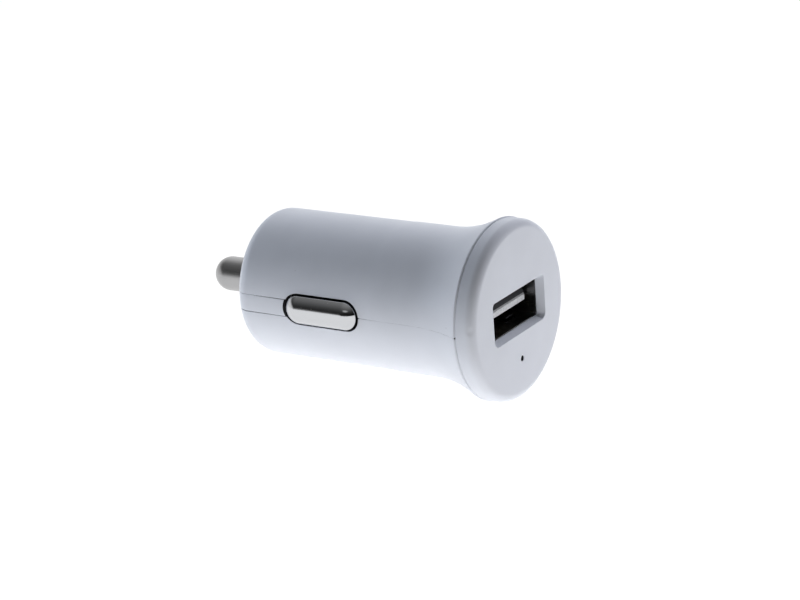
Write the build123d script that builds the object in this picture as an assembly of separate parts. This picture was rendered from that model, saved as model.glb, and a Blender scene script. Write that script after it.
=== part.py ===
"""A car charger plug with one USB port.

The barrel lies along Y: the face with the port looks towards -Y and the sprung tip points towards +Y.
The origin is on the barrel's axis at the shoulder, where the flare runs into the straight barrel.
The port's long side and the two sprung side contacts lie along X, and +Z is up.
"""

import math
import os

from build123d import *

# Moulded housing
BARREL_RADIUS = 10.3
BARREL_LENGTH = 28.65
LAND_LENGTH = 6.0
LAND_HEIGHT = 0.05
LAND_RUNOUT = 1.0
FLARE_LENGTH = 8.35
FLANGE_RADIUS = 12.6
REAR_EDGE = 2.2
WALL = 1.5
END_WALL = 1.8
MOUTH_STEP = 0.9
FLARE_BANDS = 4
EDGE_BANDS = 4
HAIRLINE = 0.06
LIP_HEIGHT = 0.6
LIP_WALL = 0.7
LIP_CLEARANCE = 0.05
LIP_END_GAP = 1.2
PRY_NOTCH_RADIUS = 0.25
PRY_NOTCH_DEPTH = 0.3

# Front cap
CAP_RIM = 2.65
CAP_STEP = 0.25
CAP_EDGE = 1.3
CAP_WALL = 1.15
CAP_REVEAL = 0.12
SKIRT_LENGTH = 3.0
SKIRT_WALL = 1.1
SKIRT_CLEARANCE = 0.08
PORT_MARGIN = 0.12
PORT_DRAFT = 11.0
PORT_CORNER = 0.7
PINHOLE_RADIUS = 0.4

# Side contacts
SLOT_LENGTH = 11.9
SLOT_WIDTH = 4.5
SLOT_CENTRE = 14.1
CONTACT_GAP = 0.28
CONTACT_CREST = 2.4
CONTACT_PROUD = 1.1
CONTACT_RIM = 0.35
CONTACT_RIM_THICKNESS = 0.4
CONTACT_REST_GAP = 0.12
LEAF_SHEET = 0.3
LEAF_WIDTH = 4.0
LEAF_FOOT = 1.8
LEAF_REACH = 2.1
LEAF_GAP = 0.03

# Tip and its carrier
TIP_RADIUS = 2.45
TIP_PROUD = 9.95
TIP_CLEARANCE = 0.15
COLLAR_RADIUS = 3.5
COLLAR_LENGTH = 1.2
COLLAR_GAP = 0.1
TAIL_RADIUS = 1.7
TAIL_LENGTH = 2.2
SPRING_WIRE = 0.5
SPRING_RADIUS = 2.45
SPRING_TURNS = 4
SPRING_STEPS_PER_TURN = 10
SPRING_WIRE_SIDES = 6
BOSS_RADIUS = 4.2
GUIDE_WALL = 1.9
GUIDE_FRONT_GAP = 2.0
GUIDE_END = 1.6
GUIDE_CLEARANCE = 0.2
TONGUE_WIDTH = 2.4
TONGUE_END_GAP = 0.35
TERMINAL_SHEET = 0.5
TERMINAL_WIDTH = 6.0
TERMINAL_RISE = 3.0
TERMINAL_FOOT_WIDTH = 3.0
TERMINAL_FOOT_LENGTH = 2.5

# USB receptacle
USB_WIDTH = 13.1
USB_HEIGHT = 5.72
USB_LENGTH = 14.0
USB_SHEET = 0.3
USB_CORNER = 0.6
USB_SETBACK = 0.05
FINGER_WIDTH = 1.9
FINGER_LENGTH = 5.0
FINGER_SLIT = 0.35
FINGER_OFFSET = 3.2
FINGER_FRONT = 2.4
FINGER_TILT = 5.0
FINGER_INSET = 0.03
LEG_LENGTH = 1.5
LEG_SETBACK = 8.4
INSULATOR_FIT = 0.05
INSULATOR_BLOCK = 4.4
TONGUE_BLADE_WIDTH = 11.1
TONGUE_BLADE_HEIGHT = 1.84
TONGUE_BLADE_SETBACK = 0.95
TONGUE_BLADE_DROP = 0.2
TONGUE_LEAD_HEIGHT = 0.75
TONGUE_LEAD_LENGTH = 1.3
TONGUE_CORNER = 0.55
PIN_POSITIONS = (-3.5, -1.0, 1.0, 3.5)
PIN_WIDTH = 1.0
PIN_SHEET = 0.25
PIN_FRONT = 1.0
PIN_BUMP = 0.35
PIN_BUMP_LENGTH = 1.5
PIN_TAIL_OFFSET = 0.7

# Circuit board
BOARD_THICKNESS = 1.0
BOARD_LENGTH = 21.5
BOARD_SETBACK = 0.5
BOARD_EDGE_GAP = 0.25
RAIL_WIDTH = 0.9
RAIL_OVERLAP = 0.2
STOP_LENGTH = 1.2
STOP_GAP = 0.1
HOLD_DOWN_LENGTH = 3.0
HOLD_DOWN_SETBACK = 1.4
HOLD_DOWN_GAP = 0.05
HOLD_DOWN_SIDE_GAP = 0.4
HOLD_DOWN_ROOT = 3.0
SOLDER_REACH = 0.7
LEAD_HOLE_GAP = 0.12

# Components
CAN_RADIUS = 2.5
CAN_HEIGHT = 7.0
CAN_SPACING = 6.0
CAN_SETBACK = 13.5
INDUCTOR_BODY = (5.8, 5.8, 3.0)
INDUCTOR_CHAMFER = 0.9
INDUCTOR_TAB = (6.4, 2.0, 0.3)
INDUCTOR_SETBACK = 14.4
CHIP_BODY = (3.9, 4.9, 1.4)
CHIP_STANDOFF = 0.1
CHIP_LEAD_PITCH = 1.27
CHIP_LEADS_PER_SIDE = 4
CHIP_LEAD_WIDTH = 0.42
CHIP_LEAD_SHEET = 0.2
CHIP_LEAD_REACH = 1.05
CHIP_SETBACK = 5.9
DIODE_BODY = (4.3, 2.6, 2.0)
DIODE_TAB = (5.0, 1.5, 0.3)
DIODE_SETBACK = 19.6
PASSIVE_BODY = (1.25, 2.0, 0.5)
PASSIVE_END = 0.4
PASSIVE_CAP = 0.04
PASSIVE_OFFSET = 4.4
RESISTOR_SETBACKS = (3.6, 6.8)
TIMING_SETBACK = 14.4
LED_RADIUS = 1.5
LED_LENGTH = 4.8
LED_SETBACK = 0.2
LED_CLEARANCE = 0.32
LED_LEAD = 0.5
LED_LEAD_SPACING = 2.54
LED_LEAD_LENGTH = 1.7

# Places worked out from the sizes above
BORE_RADIUS = BARREL_RADIUS - WALL
REAR_RADIUS = BARREL_RADIUS - LAND_HEIGHT
MOUTH_RADIUS = BORE_RADIUS + MOUTH_STEP
SKIRT_RADIUS = MOUTH_RADIUS - SKIRT_CLEARANCE
SKIRT_INNER_RADIUS = SKIRT_RADIUS - SKIRT_WALL
PINHOLE_DROP = SKIRT_INNER_RADIUS - LED_RADIUS - LED_CLEARANCE
CAP_RADIUS = FLANGE_RADIUS - CAP_STEP
SEAM_Y = -FLARE_LENGTH
FACE_Y = SEAM_Y - CAP_RIM
REAR_Y = BARREL_LENGTH
SKIRT_END_Y = SEAM_Y + SKIRT_LENGTH
CAP_BACK_Y = FACE_Y + CAP_WALL
USB_FRONT_Y = CAP_BACK_Y + USB_SETBACK
USB_REAR_Y = USB_FRONT_Y + USB_LENGTH
TONGUE_BASE_Z = -TONGUE_BLADE_DROP
TONGUE_TOP_Z = TONGUE_BASE_Z + TONGUE_BLADE_HEIGHT
BOARD_TOP_Z = -USB_HEIGHT / 2
BOARD_BOTTOM_Z = BOARD_TOP_Z - BOARD_THICKNESS
BOARD_FRONT_Y = SKIRT_END_Y + BOARD_SETBACK
BOARD_REAR_Y = BOARD_FRONT_Y + BOARD_LENGTH
BOARD_HALF_WIDTH = math.sqrt(BORE_RADIUS**2 - BOARD_BOTTOM_Z**2) - BOARD_EDGE_GAP
INSIDE_END_Y = REAR_Y - END_WALL
GUIDE_START_Y = BOARD_REAR_Y + GUIDE_FRONT_GAP
GUIDE_SHOULDER_Y = INSIDE_END_Y - GUIDE_END
COLLAR_REAR_Y = GUIDE_SHOULDER_Y - COLLAR_GAP
COLLAR_FRONT_Y = COLLAR_REAR_Y - COLLAR_LENGTH
TERMINAL_REAR_Y = BOARD_REAR_Y - TERMINAL_SHEET
SLOT_FRONT_Y = SLOT_CENTRE - SLOT_LENGTH / 2
CONTACT_LENGTH = SLOT_LENGTH - 2 * CONTACT_GAP
CONTACT_WIDTH = SLOT_WIDTH - 2 * CONTACT_GAP
CONTACT_TOP = BARREL_RADIUS + CONTACT_PROUD
CONTACT_RIM_HALF = SLOT_WIDTH / 2 + CONTACT_RIM
CONTACT_RIM_TOP = math.sqrt(BORE_RADIUS**2 - CONTACT_RIM_HALF**2) - CONTACT_REST_GAP
CONTACT_BACK = CONTACT_RIM_TOP - CONTACT_RIM_THICKNESS
PIN_TAIL_Y = USB_REAR_Y + PIN_TAIL_OFFSET
LEG_Y = USB_FRONT_Y + LEG_SETBACK
SIDES = {"left": -1, "right": 1}


def block(x, y, z):
    """Box between the given low and high corners on each axis."""
    size = (x[1] - x[0], y[1] - y[0], z[1] - z[0])
    middle = ((x[0] + x[1]) / 2, (y[0] + y[1]) / 2, (z[0] + z[1]) / 2)
    return Pos(*middle) * Box(*size)


def drum(radius, y_start, y_end):
    """Round bar along the barrel's axis."""
    return Pos(0, (y_start + y_end) / 2, 0) * Rot(90, 0, 0) * Cylinder(radius, y_end - y_start)


def turned(*points):
    """Solid of revolution about the barrel's axis from corners of radius and Y."""
    return revolve(make_face(Polyline(*points, close=True)), axis=Axis.Y)


def round_edge(centre, radius, start, end):
    """Corners of a rounded edge about a centre, turned in narrow bands between two angles in degrees."""
    steps = [start + (end - start) * band / EDGE_BANDS for band in range(EDGE_BANDS + 1)]
    angles = [math.radians(step) for step in steps]
    return [(centre[0] + radius * math.cos(a), centre[1] + radius * math.sin(a)) for a in angles]


def oblong(length, width, x_start, x_end):
    """Bar of slot section through the wall, from one distance from the axis to another, on the +X side."""
    outline = Plane.YZ.offset(x_start) * Pos(SLOT_CENTRE, 0) * SlotOverall(length, width)
    return extrude(outline, amount=x_end - x_start)


def mirrored(part, side):
    """The part on the +X side, or its mirror image on the -X side."""
    return part if side > 0 else mirror(part, about=Plane.YZ)


def housing_form():
    """Outside of the barrel, with a locating land behind the shoulder and a flare ahead of it.

    The flare swells with the square of the way from the shoulder.
    """
    shares = [band / FLARE_BANDS for band in range(FLARE_BANDS + 1)]
    swell = FLANGE_RADIUS - BARREL_RADIUS
    flare = [(BARREL_RADIUS + swell * share**2, SEAM_Y * share) for share in shares]
    edge = round_edge((REAR_RADIUS - REAR_EDGE, REAR_Y - REAR_EDGE), REAR_EDGE, 90, 0)
    land = ((REAR_RADIUS, LAND_LENGTH + LAND_RUNOUT), (BARREL_RADIUS, LAND_LENGTH))
    return turned((0, SEAM_Y), (0, REAR_Y), *edge, *land, *flare)


def housing_hollow():
    """Space inside the barrel: mouth for the cap's skirt, then the bore."""
    return turned(
        (0, SEAM_Y),
        (MOUTH_RADIUS, SEAM_Y),
        (MOUTH_RADIUS, SKIRT_END_Y),
        (BORE_RADIUS, SKIRT_END_Y),
        (BORE_RADIUS, INSIDE_END_Y),
        (0, INSIDE_END_Y),
    )


def carrier_bar(half_width, end_gap):
    """Band across the rear end and along both sides of the wall, as far as the contact slots."""
    reach = FLANGE_RADIUS
    band = housing_form() & block(
        (-reach, reach), (SLOT_CENTRE, REAR_Y), (-half_width, half_width)
    )
    band -= drum(BORE_RADIUS, SLOT_CENTRE, INSIDE_END_Y)
    slot = oblong(SLOT_LENGTH + 2 * end_gap, SLOT_WIDTH + 2 * end_gap, BORE_RADIUS / 2, reach)
    for side in SIDES.values():
        band -= mirrored(slot, side)
    return band


def parting_lips(clearance):
    """Ledges on the inner half of the wall along the parting plane, ahead of the contact slots."""
    start = SKIRT_END_Y + LIP_END_GAP - clearance
    end = SLOT_FRONT_Y - LIP_END_GAP + clearance
    ring = drum(BORE_RADIUS + LIP_WALL + clearance, start, end) - drum(BORE_RADIUS, start, end)
    low = -HAIRLINE
    return ring & block((-BARREL_RADIUS, BARREL_RADIUS), (start, end), (low, LIP_HEIGHT + clearance))


def leg_space(side, clearance):
    """Room of one solder leg of the port's sleeve, on its way down through the board."""
    outer = USB_WIDTH / 2
    across = sorted((side * (outer - USB_SHEET - clearance), side * (outer + clearance)))
    along = (LEG_Y - clearance, LEG_Y + LEG_LENGTH + clearance)
    return block(across, along, (BOARD_BOTTOM_Z - SOLDER_REACH - clearance, 0))


def board_rails():
    """Ledges under the board's long edges, with a stop behind its rear end."""
    inner = BOARD_HALF_WIDTH - RAIL_WIDTH
    outer = BORE_RADIUS + RAIL_OVERLAP
    stop_y = BOARD_REAR_Y + STOP_GAP
    ledge = block((inner, outer), (BOARD_FRONT_Y, stop_y + STOP_LENGTH), (-outer, BOARD_BOTTOM_Z))
    stop = block((inner, outer), (stop_y, stop_y + STOP_LENGTH), (-outer, BOARD_TOP_Z))
    rail = (ledge + stop) & drum(outer, BOARD_FRONT_Y, stop_y + STOP_LENGTH)
    rail -= leg_space(1, LEAD_HOLE_GAP)
    return rail + mirror(rail, about=Plane.YZ)


def hold_down_ribs():
    """Ribs of the upper half that keep the board down on its rails."""
    inner = USB_WIDTH / 2 + HOLD_DOWN_SIDE_GAP
    start = BOARD_FRONT_Y + HOLD_DOWN_SETBACK
    end = start + HOLD_DOWN_LENGTH
    outer = BORE_RADIUS + RAIL_OVERLAP
    root = block((inner, outer), (start, end), (LIP_HEIGHT + LIP_CLEARANCE, HOLD_DOWN_ROOT))
    foot = block((inner, outer), (start, end), (BOARD_TOP_Z + HOLD_DOWN_GAP, HOLD_DOWN_ROOT))
    rib = (root & drum(outer, start, end)) + (foot & drum(BORE_RADIUS - SKIRT_CLEARANCE, start, end))
    return rib + mirror(rib, about=Plane.YZ)


def make_shells():
    """Upper and lower half shells, parted on the plane of the contact slots."""
    body = housing_form() - housing_hollow()
    slot = oblong(SLOT_LENGTH, SLOT_WIDTH, BORE_RADIUS / 2, FLANGE_RADIUS)
    notch = Pos(FLANGE_RADIUS, SEAM_Y, 0) * Rot(0, 90, 0) * Cylinder(PRY_NOTCH_RADIUS, 2 * PRY_NOTCH_DEPTH)
    for side in SIDES.values():
        body -= mirrored(slot, side)
        body -= mirrored(notch, side)
    body -= carrier_bar(TONGUE_WIDTH / 2 + HAIRLINE, 0)
    body -= drum(BOSS_RADIUS + HAIRLINE, INSIDE_END_Y, REAR_Y)
    reach = FLANGE_RADIUS + WALL
    along = (SEAM_Y - WALL, REAR_Y + WALL)
    above = block((-reach, reach), along, (HAIRLINE / 2, reach))
    below = block((-reach, reach), along, (-reach, -HAIRLINE / 2))
    upper = (body & above) - parting_lips(LIP_CLEARANCE) + hold_down_ribs()
    lower = (body & below) + parting_lips(0) + board_rails()
    return {"upper_shell": upper, "lower_shell": lower}


def make_cap():
    """Front cap: rounded disc with the port opening, the pinhole and a skirt that seats in the mouth."""
    cap = turned(
        (0, FACE_Y),
        *round_edge((CAP_RADIUS - CAP_EDGE, FACE_Y + CAP_EDGE), CAP_EDGE, -90, 0),
        (CAP_RADIUS, SEAM_Y - CAP_REVEAL),
        (SKIRT_RADIUS, SEAM_Y - CAP_REVEAL),
        (SKIRT_RADIUS, SKIRT_END_Y),
        (SKIRT_INNER_RADIUS, SKIRT_END_Y),
        (SKIRT_INNER_RADIUS, CAP_BACK_Y),
        (0, CAP_BACK_Y),
    )
    width = USB_WIDTH - 2 * USB_SHEET + 2 * PORT_MARGIN
    height = USB_HEIGHT - 2 * USB_SHEET + 2 * PORT_MARGIN
    back = Plane.XZ.offset(-CAP_BACK_Y) * RectangleRounded(width, height, PORT_CORNER)
    cap -= extrude(back, amount=CAP_WALL, taper=-PORT_DRAFT)
    cap -= Pos(0, 0, -PINHOLE_DROP) * drum(PINHOLE_RADIUS, FACE_Y, CAP_BACK_Y)
    return {"front_cap": cap}


def make_carrier():
    """Rear insert: boss in the end wall, wider guide tube for the tip behind it and two side tongues."""
    guide_bore = COLLAR_RADIUS + GUIDE_CLEARANCE
    carrier = carrier_bar(TONGUE_WIDTH / 2, TONGUE_END_GAP)
    carrier += drum(BOSS_RADIUS, INSIDE_END_Y, REAR_Y)
    carrier += drum(guide_bore + GUIDE_WALL, GUIDE_START_Y, INSIDE_END_Y)
    carrier -= drum(guide_bore, GUIDE_START_Y, GUIDE_SHOULDER_Y)
    carrier -= drum(TIP_RADIUS + TIP_CLEARANCE, GUIDE_SHOULDER_Y, REAR_Y)
    return {"tip_carrier": carrier}


def make_tip():
    """Turned tip with a round nose, a retaining collar and a tail that centres the spring."""
    tip = turned(
        *round_edge((0, REAR_Y + TIP_PROUD - TIP_RADIUS), TIP_RADIUS, 90, 0),
        (TIP_RADIUS, COLLAR_REAR_Y),
        (COLLAR_RADIUS, COLLAR_REAR_Y),
        (COLLAR_RADIUS, COLLAR_FRONT_Y),
        (TAIL_RADIUS, COLLAR_FRONT_Y),
        (TAIL_RADIUS, COLLAR_FRONT_Y - TAIL_LENGTH),
        (0, COLLAR_FRONT_Y - TAIL_LENGTH),
    )
    return {"centre_tip": tip}


def make_tip_spring():
    """Compression spring between the terminal and the tip's collar, with its ends ground flat."""
    length = COLLAR_FRONT_Y - TERMINAL_REAR_Y
    steps = SPRING_TURNS * SPRING_STEPS_PER_TURN
    turns = [2 * math.pi * step / SPRING_STEPS_PER_TURN for step in range(steps + 1)]
    rise = length / turns[-1]
    wire = Polyline(*[
        (SPRING_RADIUS * math.cos(turn), TERMINAL_REAR_Y + rise * turn, SPRING_RADIUS * math.sin(turn))
        for turn in turns
    ])
    section = Plane(origin=wire @ 0, z_dir=wire % 0) * RegularPolygon(SPRING_WIRE / 2, SPRING_WIRE_SIDES)
    coil = sweep(section, path=wire, transition=Transition.RIGHT)
    ends = drum(SPRING_RADIUS + SPRING_WIRE, TERMINAL_REAR_Y, COLLAR_FRONT_Y)
    return {"tip_spring": coil & ends}


def make_terminal():
    """Angle of sheet metal on the board's rear end that the tip's spring presses against."""
    half = TERMINAL_WIDTH / 2
    foot_half = TERMINAL_FOOT_WIDTH / 2
    front = TERMINAL_REAR_Y - TERMINAL_SHEET
    plate = block((-half, half), (front, TERMINAL_REAR_Y), (BOARD_TOP_Z, TERMINAL_RISE))
    foot = block(
        (-foot_half, foot_half),
        (front - TERMINAL_FOOT_LENGTH, front),
        (BOARD_TOP_Z, BOARD_TOP_Z + TERMINAL_SHEET),
    )
    return {"tip_terminal": plate + foot}


def make_contacts():
    """Pill contacts with a domed crest and a rim that holds them in the slots."""
    crest_x = CONTACT_TOP - CONTACT_CREST
    half_run = (CONTACT_LENGTH - CONTACT_WIDTH) / 2
    crest = Pos(crest_x, 0, 0) * drum(CONTACT_CREST, SLOT_CENTRE - half_run, SLOT_CENTRE + half_run)
    for end in (-half_run, half_run):
        crest += Pos(crest_x, SLOT_CENTRE + end, 0) * Sphere(CONTACT_CREST)
    pill = oblong(CONTACT_LENGTH, CONTACT_WIDTH, crest_x, CONTACT_TOP) & crest
    pill += oblong(CONTACT_LENGTH, CONTACT_WIDTH, CONTACT_BACK, crest_x)
    rim = 2 * CONTACT_RIM
    pill += oblong(SLOT_LENGTH + rim, SLOT_WIDTH + rim, CONTACT_BACK, CONTACT_RIM_TOP)
    return {f"{name}_contact": mirrored(pill, side) for name, side in SIDES.items()}


def make_contact_springs():
    """Folded leaf springs that stand on the board and press behind the contacts."""
    riser_x = CONTACT_BACK - LEAF_REACH
    foot_z = BOARD_TOP_Z + LEAF_SHEET
    nose_x = CONTACT_BACK - LEAF_GAP
    fold_z = CONTACT_WIDTH / 2
    outline = Polyline(
        (riser_x - LEAF_FOOT, BOARD_TOP_Z),
        (riser_x + LEAF_SHEET, BOARD_TOP_Z),
        (riser_x + LEAF_SHEET, fold_z - 2 * LEAF_SHEET),
        (nose_x - LEAF_SHEET, -LEAF_SHEET),
        (nose_x, -LEAF_SHEET),
        (nose_x, LEAF_SHEET),
        (riser_x + LEAF_SHEET, fold_z),
        (riser_x, fold_z),
        (riser_x, foot_z),
        (riser_x - LEAF_FOOT, foot_z),
        close=True,
    )
    plane = Plane.XZ.offset(LEAF_WIDTH / 2 - TERMINAL_REAR_Y)
    leaf = extrude(plane * make_face(outline), amount=LEAF_WIDTH / 2, both=True)
    return {f"{name}_contact_spring": mirrored(leaf, side) for name, side in SIDES.items()}


def make_usb_shell():
    """Sheet metal sleeve of the port with sprung fingers above and below and two solder legs."""
    inner_width = USB_WIDTH - 2 * USB_SHEET
    inner_height = USB_HEIGHT - 2 * USB_SHEET
    front = Plane.XZ.offset(-USB_REAR_Y)
    sleeve = RectangleRounded(USB_WIDTH, USB_HEIGHT, USB_CORNER)
    sleeve -= RectangleRounded(inner_width, inner_height, USB_CORNER - USB_SHEET)
    shell = extrude(front * sleeve, amount=USB_LENGTH)
    finger_y = USB_FRONT_Y + FINGER_FRONT
    root_y = finger_y + FINGER_LENGTH
    for level in (-1, 1):
        for side in SIDES.values():
            x = side * FINGER_OFFSET
            half = FINGER_WIDTH / 2 + FINGER_SLIT
            wall = sorted((level * inner_height / 2, level * USB_HEIGHT / 2))
            window_y = (finger_y - FINGER_SLIT, root_y)
            shell -= block((x - half, x + half), window_y, wall)
            thickness = (FINGER_INSET, USB_SHEET - FINGER_INSET)
            blade = block((-FINGER_WIDTH / 2, FINGER_WIDTH / 2), (-FINGER_LENGTH, USB_SHEET), thickness)
            blade = Pos(x, root_y, wall[0]) * Rot(level * FINGER_TILT, 0, 0) * blade
            shell += blade
    for side in SIDES.values():
        shell += leg_space(side, 0)
    return {"usb_shell": shell}


def pin_form():
    """One contact pin: sprung nose under the tongue, straight run, tail down through the board."""
    start = USB_FRONT_Y + TONGUE_BLADE_SETBACK + PIN_FRONT
    bump = start + PIN_BUMP_LENGTH
    run = bump + PIN_BUMP_LENGTH
    tail_front = PIN_TAIL_Y - PIN_SHEET / 2
    tail_rear = PIN_TAIL_Y + PIN_SHEET / 2
    top_z = TONGUE_BASE_Z
    low_z = top_z - PIN_SHEET
    tail_z = BOARD_BOTTOM_Z - SOLDER_REACH
    outline = Polyline(
        (start, top_z),
        (bump, top_z - PIN_BUMP),
        (run, top_z),
        (tail_rear, top_z),
        (tail_rear, tail_z),
        (tail_front, tail_z),
        (tail_front, low_z),
        (run, low_z),
        (bump, low_z - PIN_BUMP),
        (start, low_z),
        close=True,
    )
    return extrude(Plane.YZ * make_face(outline), amount=PIN_WIDTH / 2, both=True)


def make_insulator_and_pins():
    """Insulator with the tongue that carries the pins, and the four pins."""
    half_width = USB_WIDTH / 2 - USB_SHEET - INSULATOR_FIT
    half_height = USB_HEIGHT / 2 - USB_SHEET - INSULATOR_FIT
    block_y = USB_REAR_Y - INSULATOR_BLOCK
    blade_y = USB_FRONT_Y + TONGUE_BLADE_SETBACK
    half_blade = TONGUE_BLADE_WIDTH / 2
    outline = RectangleRounded(2 * half_width, 2 * half_height, USB_CORNER - USB_SHEET)
    body = extrude(Plane.XZ.offset(-USB_REAR_Y) * outline, amount=INSULATOR_BLOCK)
    section = Polyline(
        (blade_y, TONGUE_BASE_Z),
        (blade_y, TONGUE_BASE_Z + TONGUE_LEAD_HEIGHT),
        (blade_y + TONGUE_LEAD_LENGTH, TONGUE_TOP_Z),
        (block_y, TONGUE_TOP_Z),
        (block_y, TONGUE_BASE_Z),
        close=True,
    )
    blade = extrude(Plane.YZ * make_face(section), amount=half_blade, both=True)
    corner = Polyline(
        (half_blade - TONGUE_CORNER, blade_y),
        (half_blade, blade_y),
        (half_blade, blade_y + TONGUE_CORNER),
        close=True,
    )
    cut = extrude(Pos(0, 0, TONGUE_BASE_Z) * make_face(corner), amount=TONGUE_BLADE_HEIGHT)
    insulator = body + blade - cut - mirror(cut, about=Plane.YZ)
    parts = {}
    for number, x in enumerate(PIN_POSITIONS, start=1):
        pin = Pos(x, 0, 0) * pin_form()
        insulator -= pin
        parts[f"usb_pin_{number}"] = pin
    parts["usb_insulator"] = insulator
    return parts


def make_board():
    """Circuit board with holes for the pins' tails and the sleeve's legs."""
    board = block(
        (-BOARD_HALF_WIDTH, BOARD_HALF_WIDTH),
        (BOARD_FRONT_Y, BOARD_REAR_Y),
        (BOARD_BOTTOM_Z, BOARD_TOP_Z),
    )
    level = (BOARD_BOTTOM_Z, BOARD_TOP_Z)
    tail_half = PIN_SHEET / 2 + LEAD_HOLE_GAP
    pin_half = PIN_WIDTH / 2 + LEAD_HOLE_GAP
    for x in PIN_POSITIONS:
        along = (PIN_TAIL_Y - tail_half, PIN_TAIL_Y + tail_half)
        board -= block((x - pin_half, x + pin_half), along, level)
    for side in SIDES.values():
        board -= leg_space(side, LEAD_HOLE_GAP)
    return {"circuit_board": board}


def make_cans():
    """Electrolytic capacitors, two cans that stand on top of the board."""
    can = Pos(0, BOARD_FRONT_Y + CAN_SETBACK, BOARD_TOP_Z + CAN_HEIGHT / 2) * Cylinder(CAN_RADIUS, CAN_HEIGHT)
    return {
        "input_capacitor": Pos(-CAN_SPACING / 2, 0, 0) * can,
        "output_capacitor": Pos(CAN_SPACING / 2, 0, 0) * can,
    }


def tabbed_body(body_size, tab_size, y):
    """Moulded block under the board that stands on a tab at each end."""
    width, length, height = body_size
    tab_width, tab_length, tab_height = tab_size
    across = (-width / 2, width / 2)
    along = (y - length / 2, y + length / 2)
    moulding = block(across, along, (BOARD_BOTTOM_Z - height, BOARD_BOTTOM_Z - tab_height / 2))
    tab_across = (-tab_width / 2, tab_width / 2)
    tab_along = (y - tab_length / 2, y + tab_length / 2)
    tabs = block(tab_across, tab_along, (BOARD_BOTTOM_Z - tab_height, BOARD_BOTTOM_Z))
    return moulding, tabs


def make_inductor():
    """Shielded inductor of the converter, a square block with cut corners."""
    moulding, tabs = tabbed_body(INDUCTOR_BODY, INDUCTOR_TAB, BOARD_FRONT_Y + INDUCTOR_SETBACK)
    moulding = chamfer(moulding.edges().filter_by(Axis.Z), INDUCTOR_CHAMFER)
    return {"power_inductor": moulding + tabs}


def make_chip():
    """Converter chip under the board, with gull-wing leads on two sides."""
    width, length, height = CHIP_BODY
    top = BOARD_BOTTOM_Z - CHIP_STANDOFF
    y = BOARD_FRONT_Y + CHIP_SETBACK
    body = block((-width / 2, width / 2), (y - length / 2, y + length / 2), (top - height, top))
    exit_z = top - height / 2
    knee_x = width / 2 + CHIP_LEAD_REACH / 2
    toe_x = width / 2 + CHIP_LEAD_REACH
    outline = Polyline(
        (width / 2, exit_z),
        (width / 2, exit_z - CHIP_LEAD_SHEET),
        (knee_x, exit_z - CHIP_LEAD_SHEET),
        (knee_x, BOARD_BOTTOM_Z - CHIP_LEAD_SHEET),
        (toe_x, BOARD_BOTTOM_Z - CHIP_LEAD_SHEET),
        (toe_x, BOARD_BOTTOM_Z),
        (knee_x - CHIP_LEAD_SHEET, BOARD_BOTTOM_Z),
        (knee_x - CHIP_LEAD_SHEET, exit_z),
        close=True,
    )
    first = y - CHIP_LEAD_PITCH * (CHIP_LEADS_PER_SIDE - 1) / 2
    for index in range(CHIP_LEADS_PER_SIDE):
        plane = Plane.XZ.offset(-(first + index * CHIP_LEAD_PITCH))
        lead = extrude(plane * make_face(outline), amount=CHIP_LEAD_WIDTH / 2, both=True)
        body += lead + mirror(lead, about=Plane.YZ)
    return {"converter_chip": body}


def make_diode():
    """Rectifier diode of the converter."""
    moulding, tabs = tabbed_body(DIODE_BODY, DIODE_TAB, BOARD_FRONT_Y + DIODE_SETBACK)
    return {"rectifier_diode": moulding + tabs}


def make_passives():
    """Chip resistors and the timing capacitor under the board, with plated ends."""
    width, length, height = PASSIVE_BODY
    chip = block((-width / 2, width / 2), (-length / 2, length / 2), (-height, 0))
    cap_half = width / 2 + PASSIVE_CAP
    for end in (-1, 1):
        along = sorted((end * (length / 2 - PASSIVE_END), end * (length / 2 + PASSIVE_CAP)))
        chip += block((-cap_half, cap_half), along, (-height - PASSIVE_CAP, 0))
    parts = {}
    number = 0
    for setback in RESISTOR_SETBACKS:
        for side in SIDES.values():
            number += 1
            place = Pos(side * PASSIVE_OFFSET, BOARD_FRONT_Y + setback, BOARD_BOTTOM_Z)
            parts[f"chip_resistor_{number}"] = place * chip
    place = Pos(PASSIVE_OFFSET, BOARD_FRONT_Y + TIMING_SETBACK, BOARD_BOTTOM_Z)
    parts["timing_capacitor"] = place * chip
    return parts


def make_led():
    """Flat-topped indicator lamp behind the pinhole, on two leads bent up to the board."""
    nose_y = CAP_BACK_Y + LED_SETBACK
    back_y = nose_y + LED_LENGTH
    lamp = Pos(0, 0, -PINHOLE_DROP) * drum(LED_RADIUS, nose_y, back_y)
    lead_y = max(back_y, BOARD_FRONT_Y) + LED_LEAD_LENGTH
    low_z = -PINHOLE_DROP - LED_LEAD / 2
    outline = Polyline(
        (back_y, low_z),
        (lead_y, low_z),
        (lead_y, BOARD_BOTTOM_Z),
        (lead_y - LED_LEAD, BOARD_BOTTOM_Z),
        (lead_y - LED_LEAD, low_z + LED_LEAD),
        (back_y, low_z + LED_LEAD),
        close=True,
    )
    for side in SIDES.values():
        plane = Plane.YZ.offset(side * LED_LEAD_SPACING / 2)
        lamp += extrude(plane * make_face(outline), amount=LED_LEAD / 2, both=True)
    return {"indicator_led": lamp}


def main():
    """Make every piece and write each one to its own file."""
    makers = (
        make_shells,
        make_cap,
        make_carrier,
        make_tip,
        make_tip_spring,
        make_terminal,
        make_contacts,
        make_contact_springs,
        make_usb_shell,
        make_insulator_and_pins,
        make_board,
        make_cans,
        make_inductor,
        make_chip,
        make_diode,
        make_passives,
        make_led,
    )
    os.makedirs("parts", exist_ok=True)
    for maker in makers:
        for name, solid in maker().items():
            export_step(solid, f"parts/{name}.step")


main()
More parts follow.
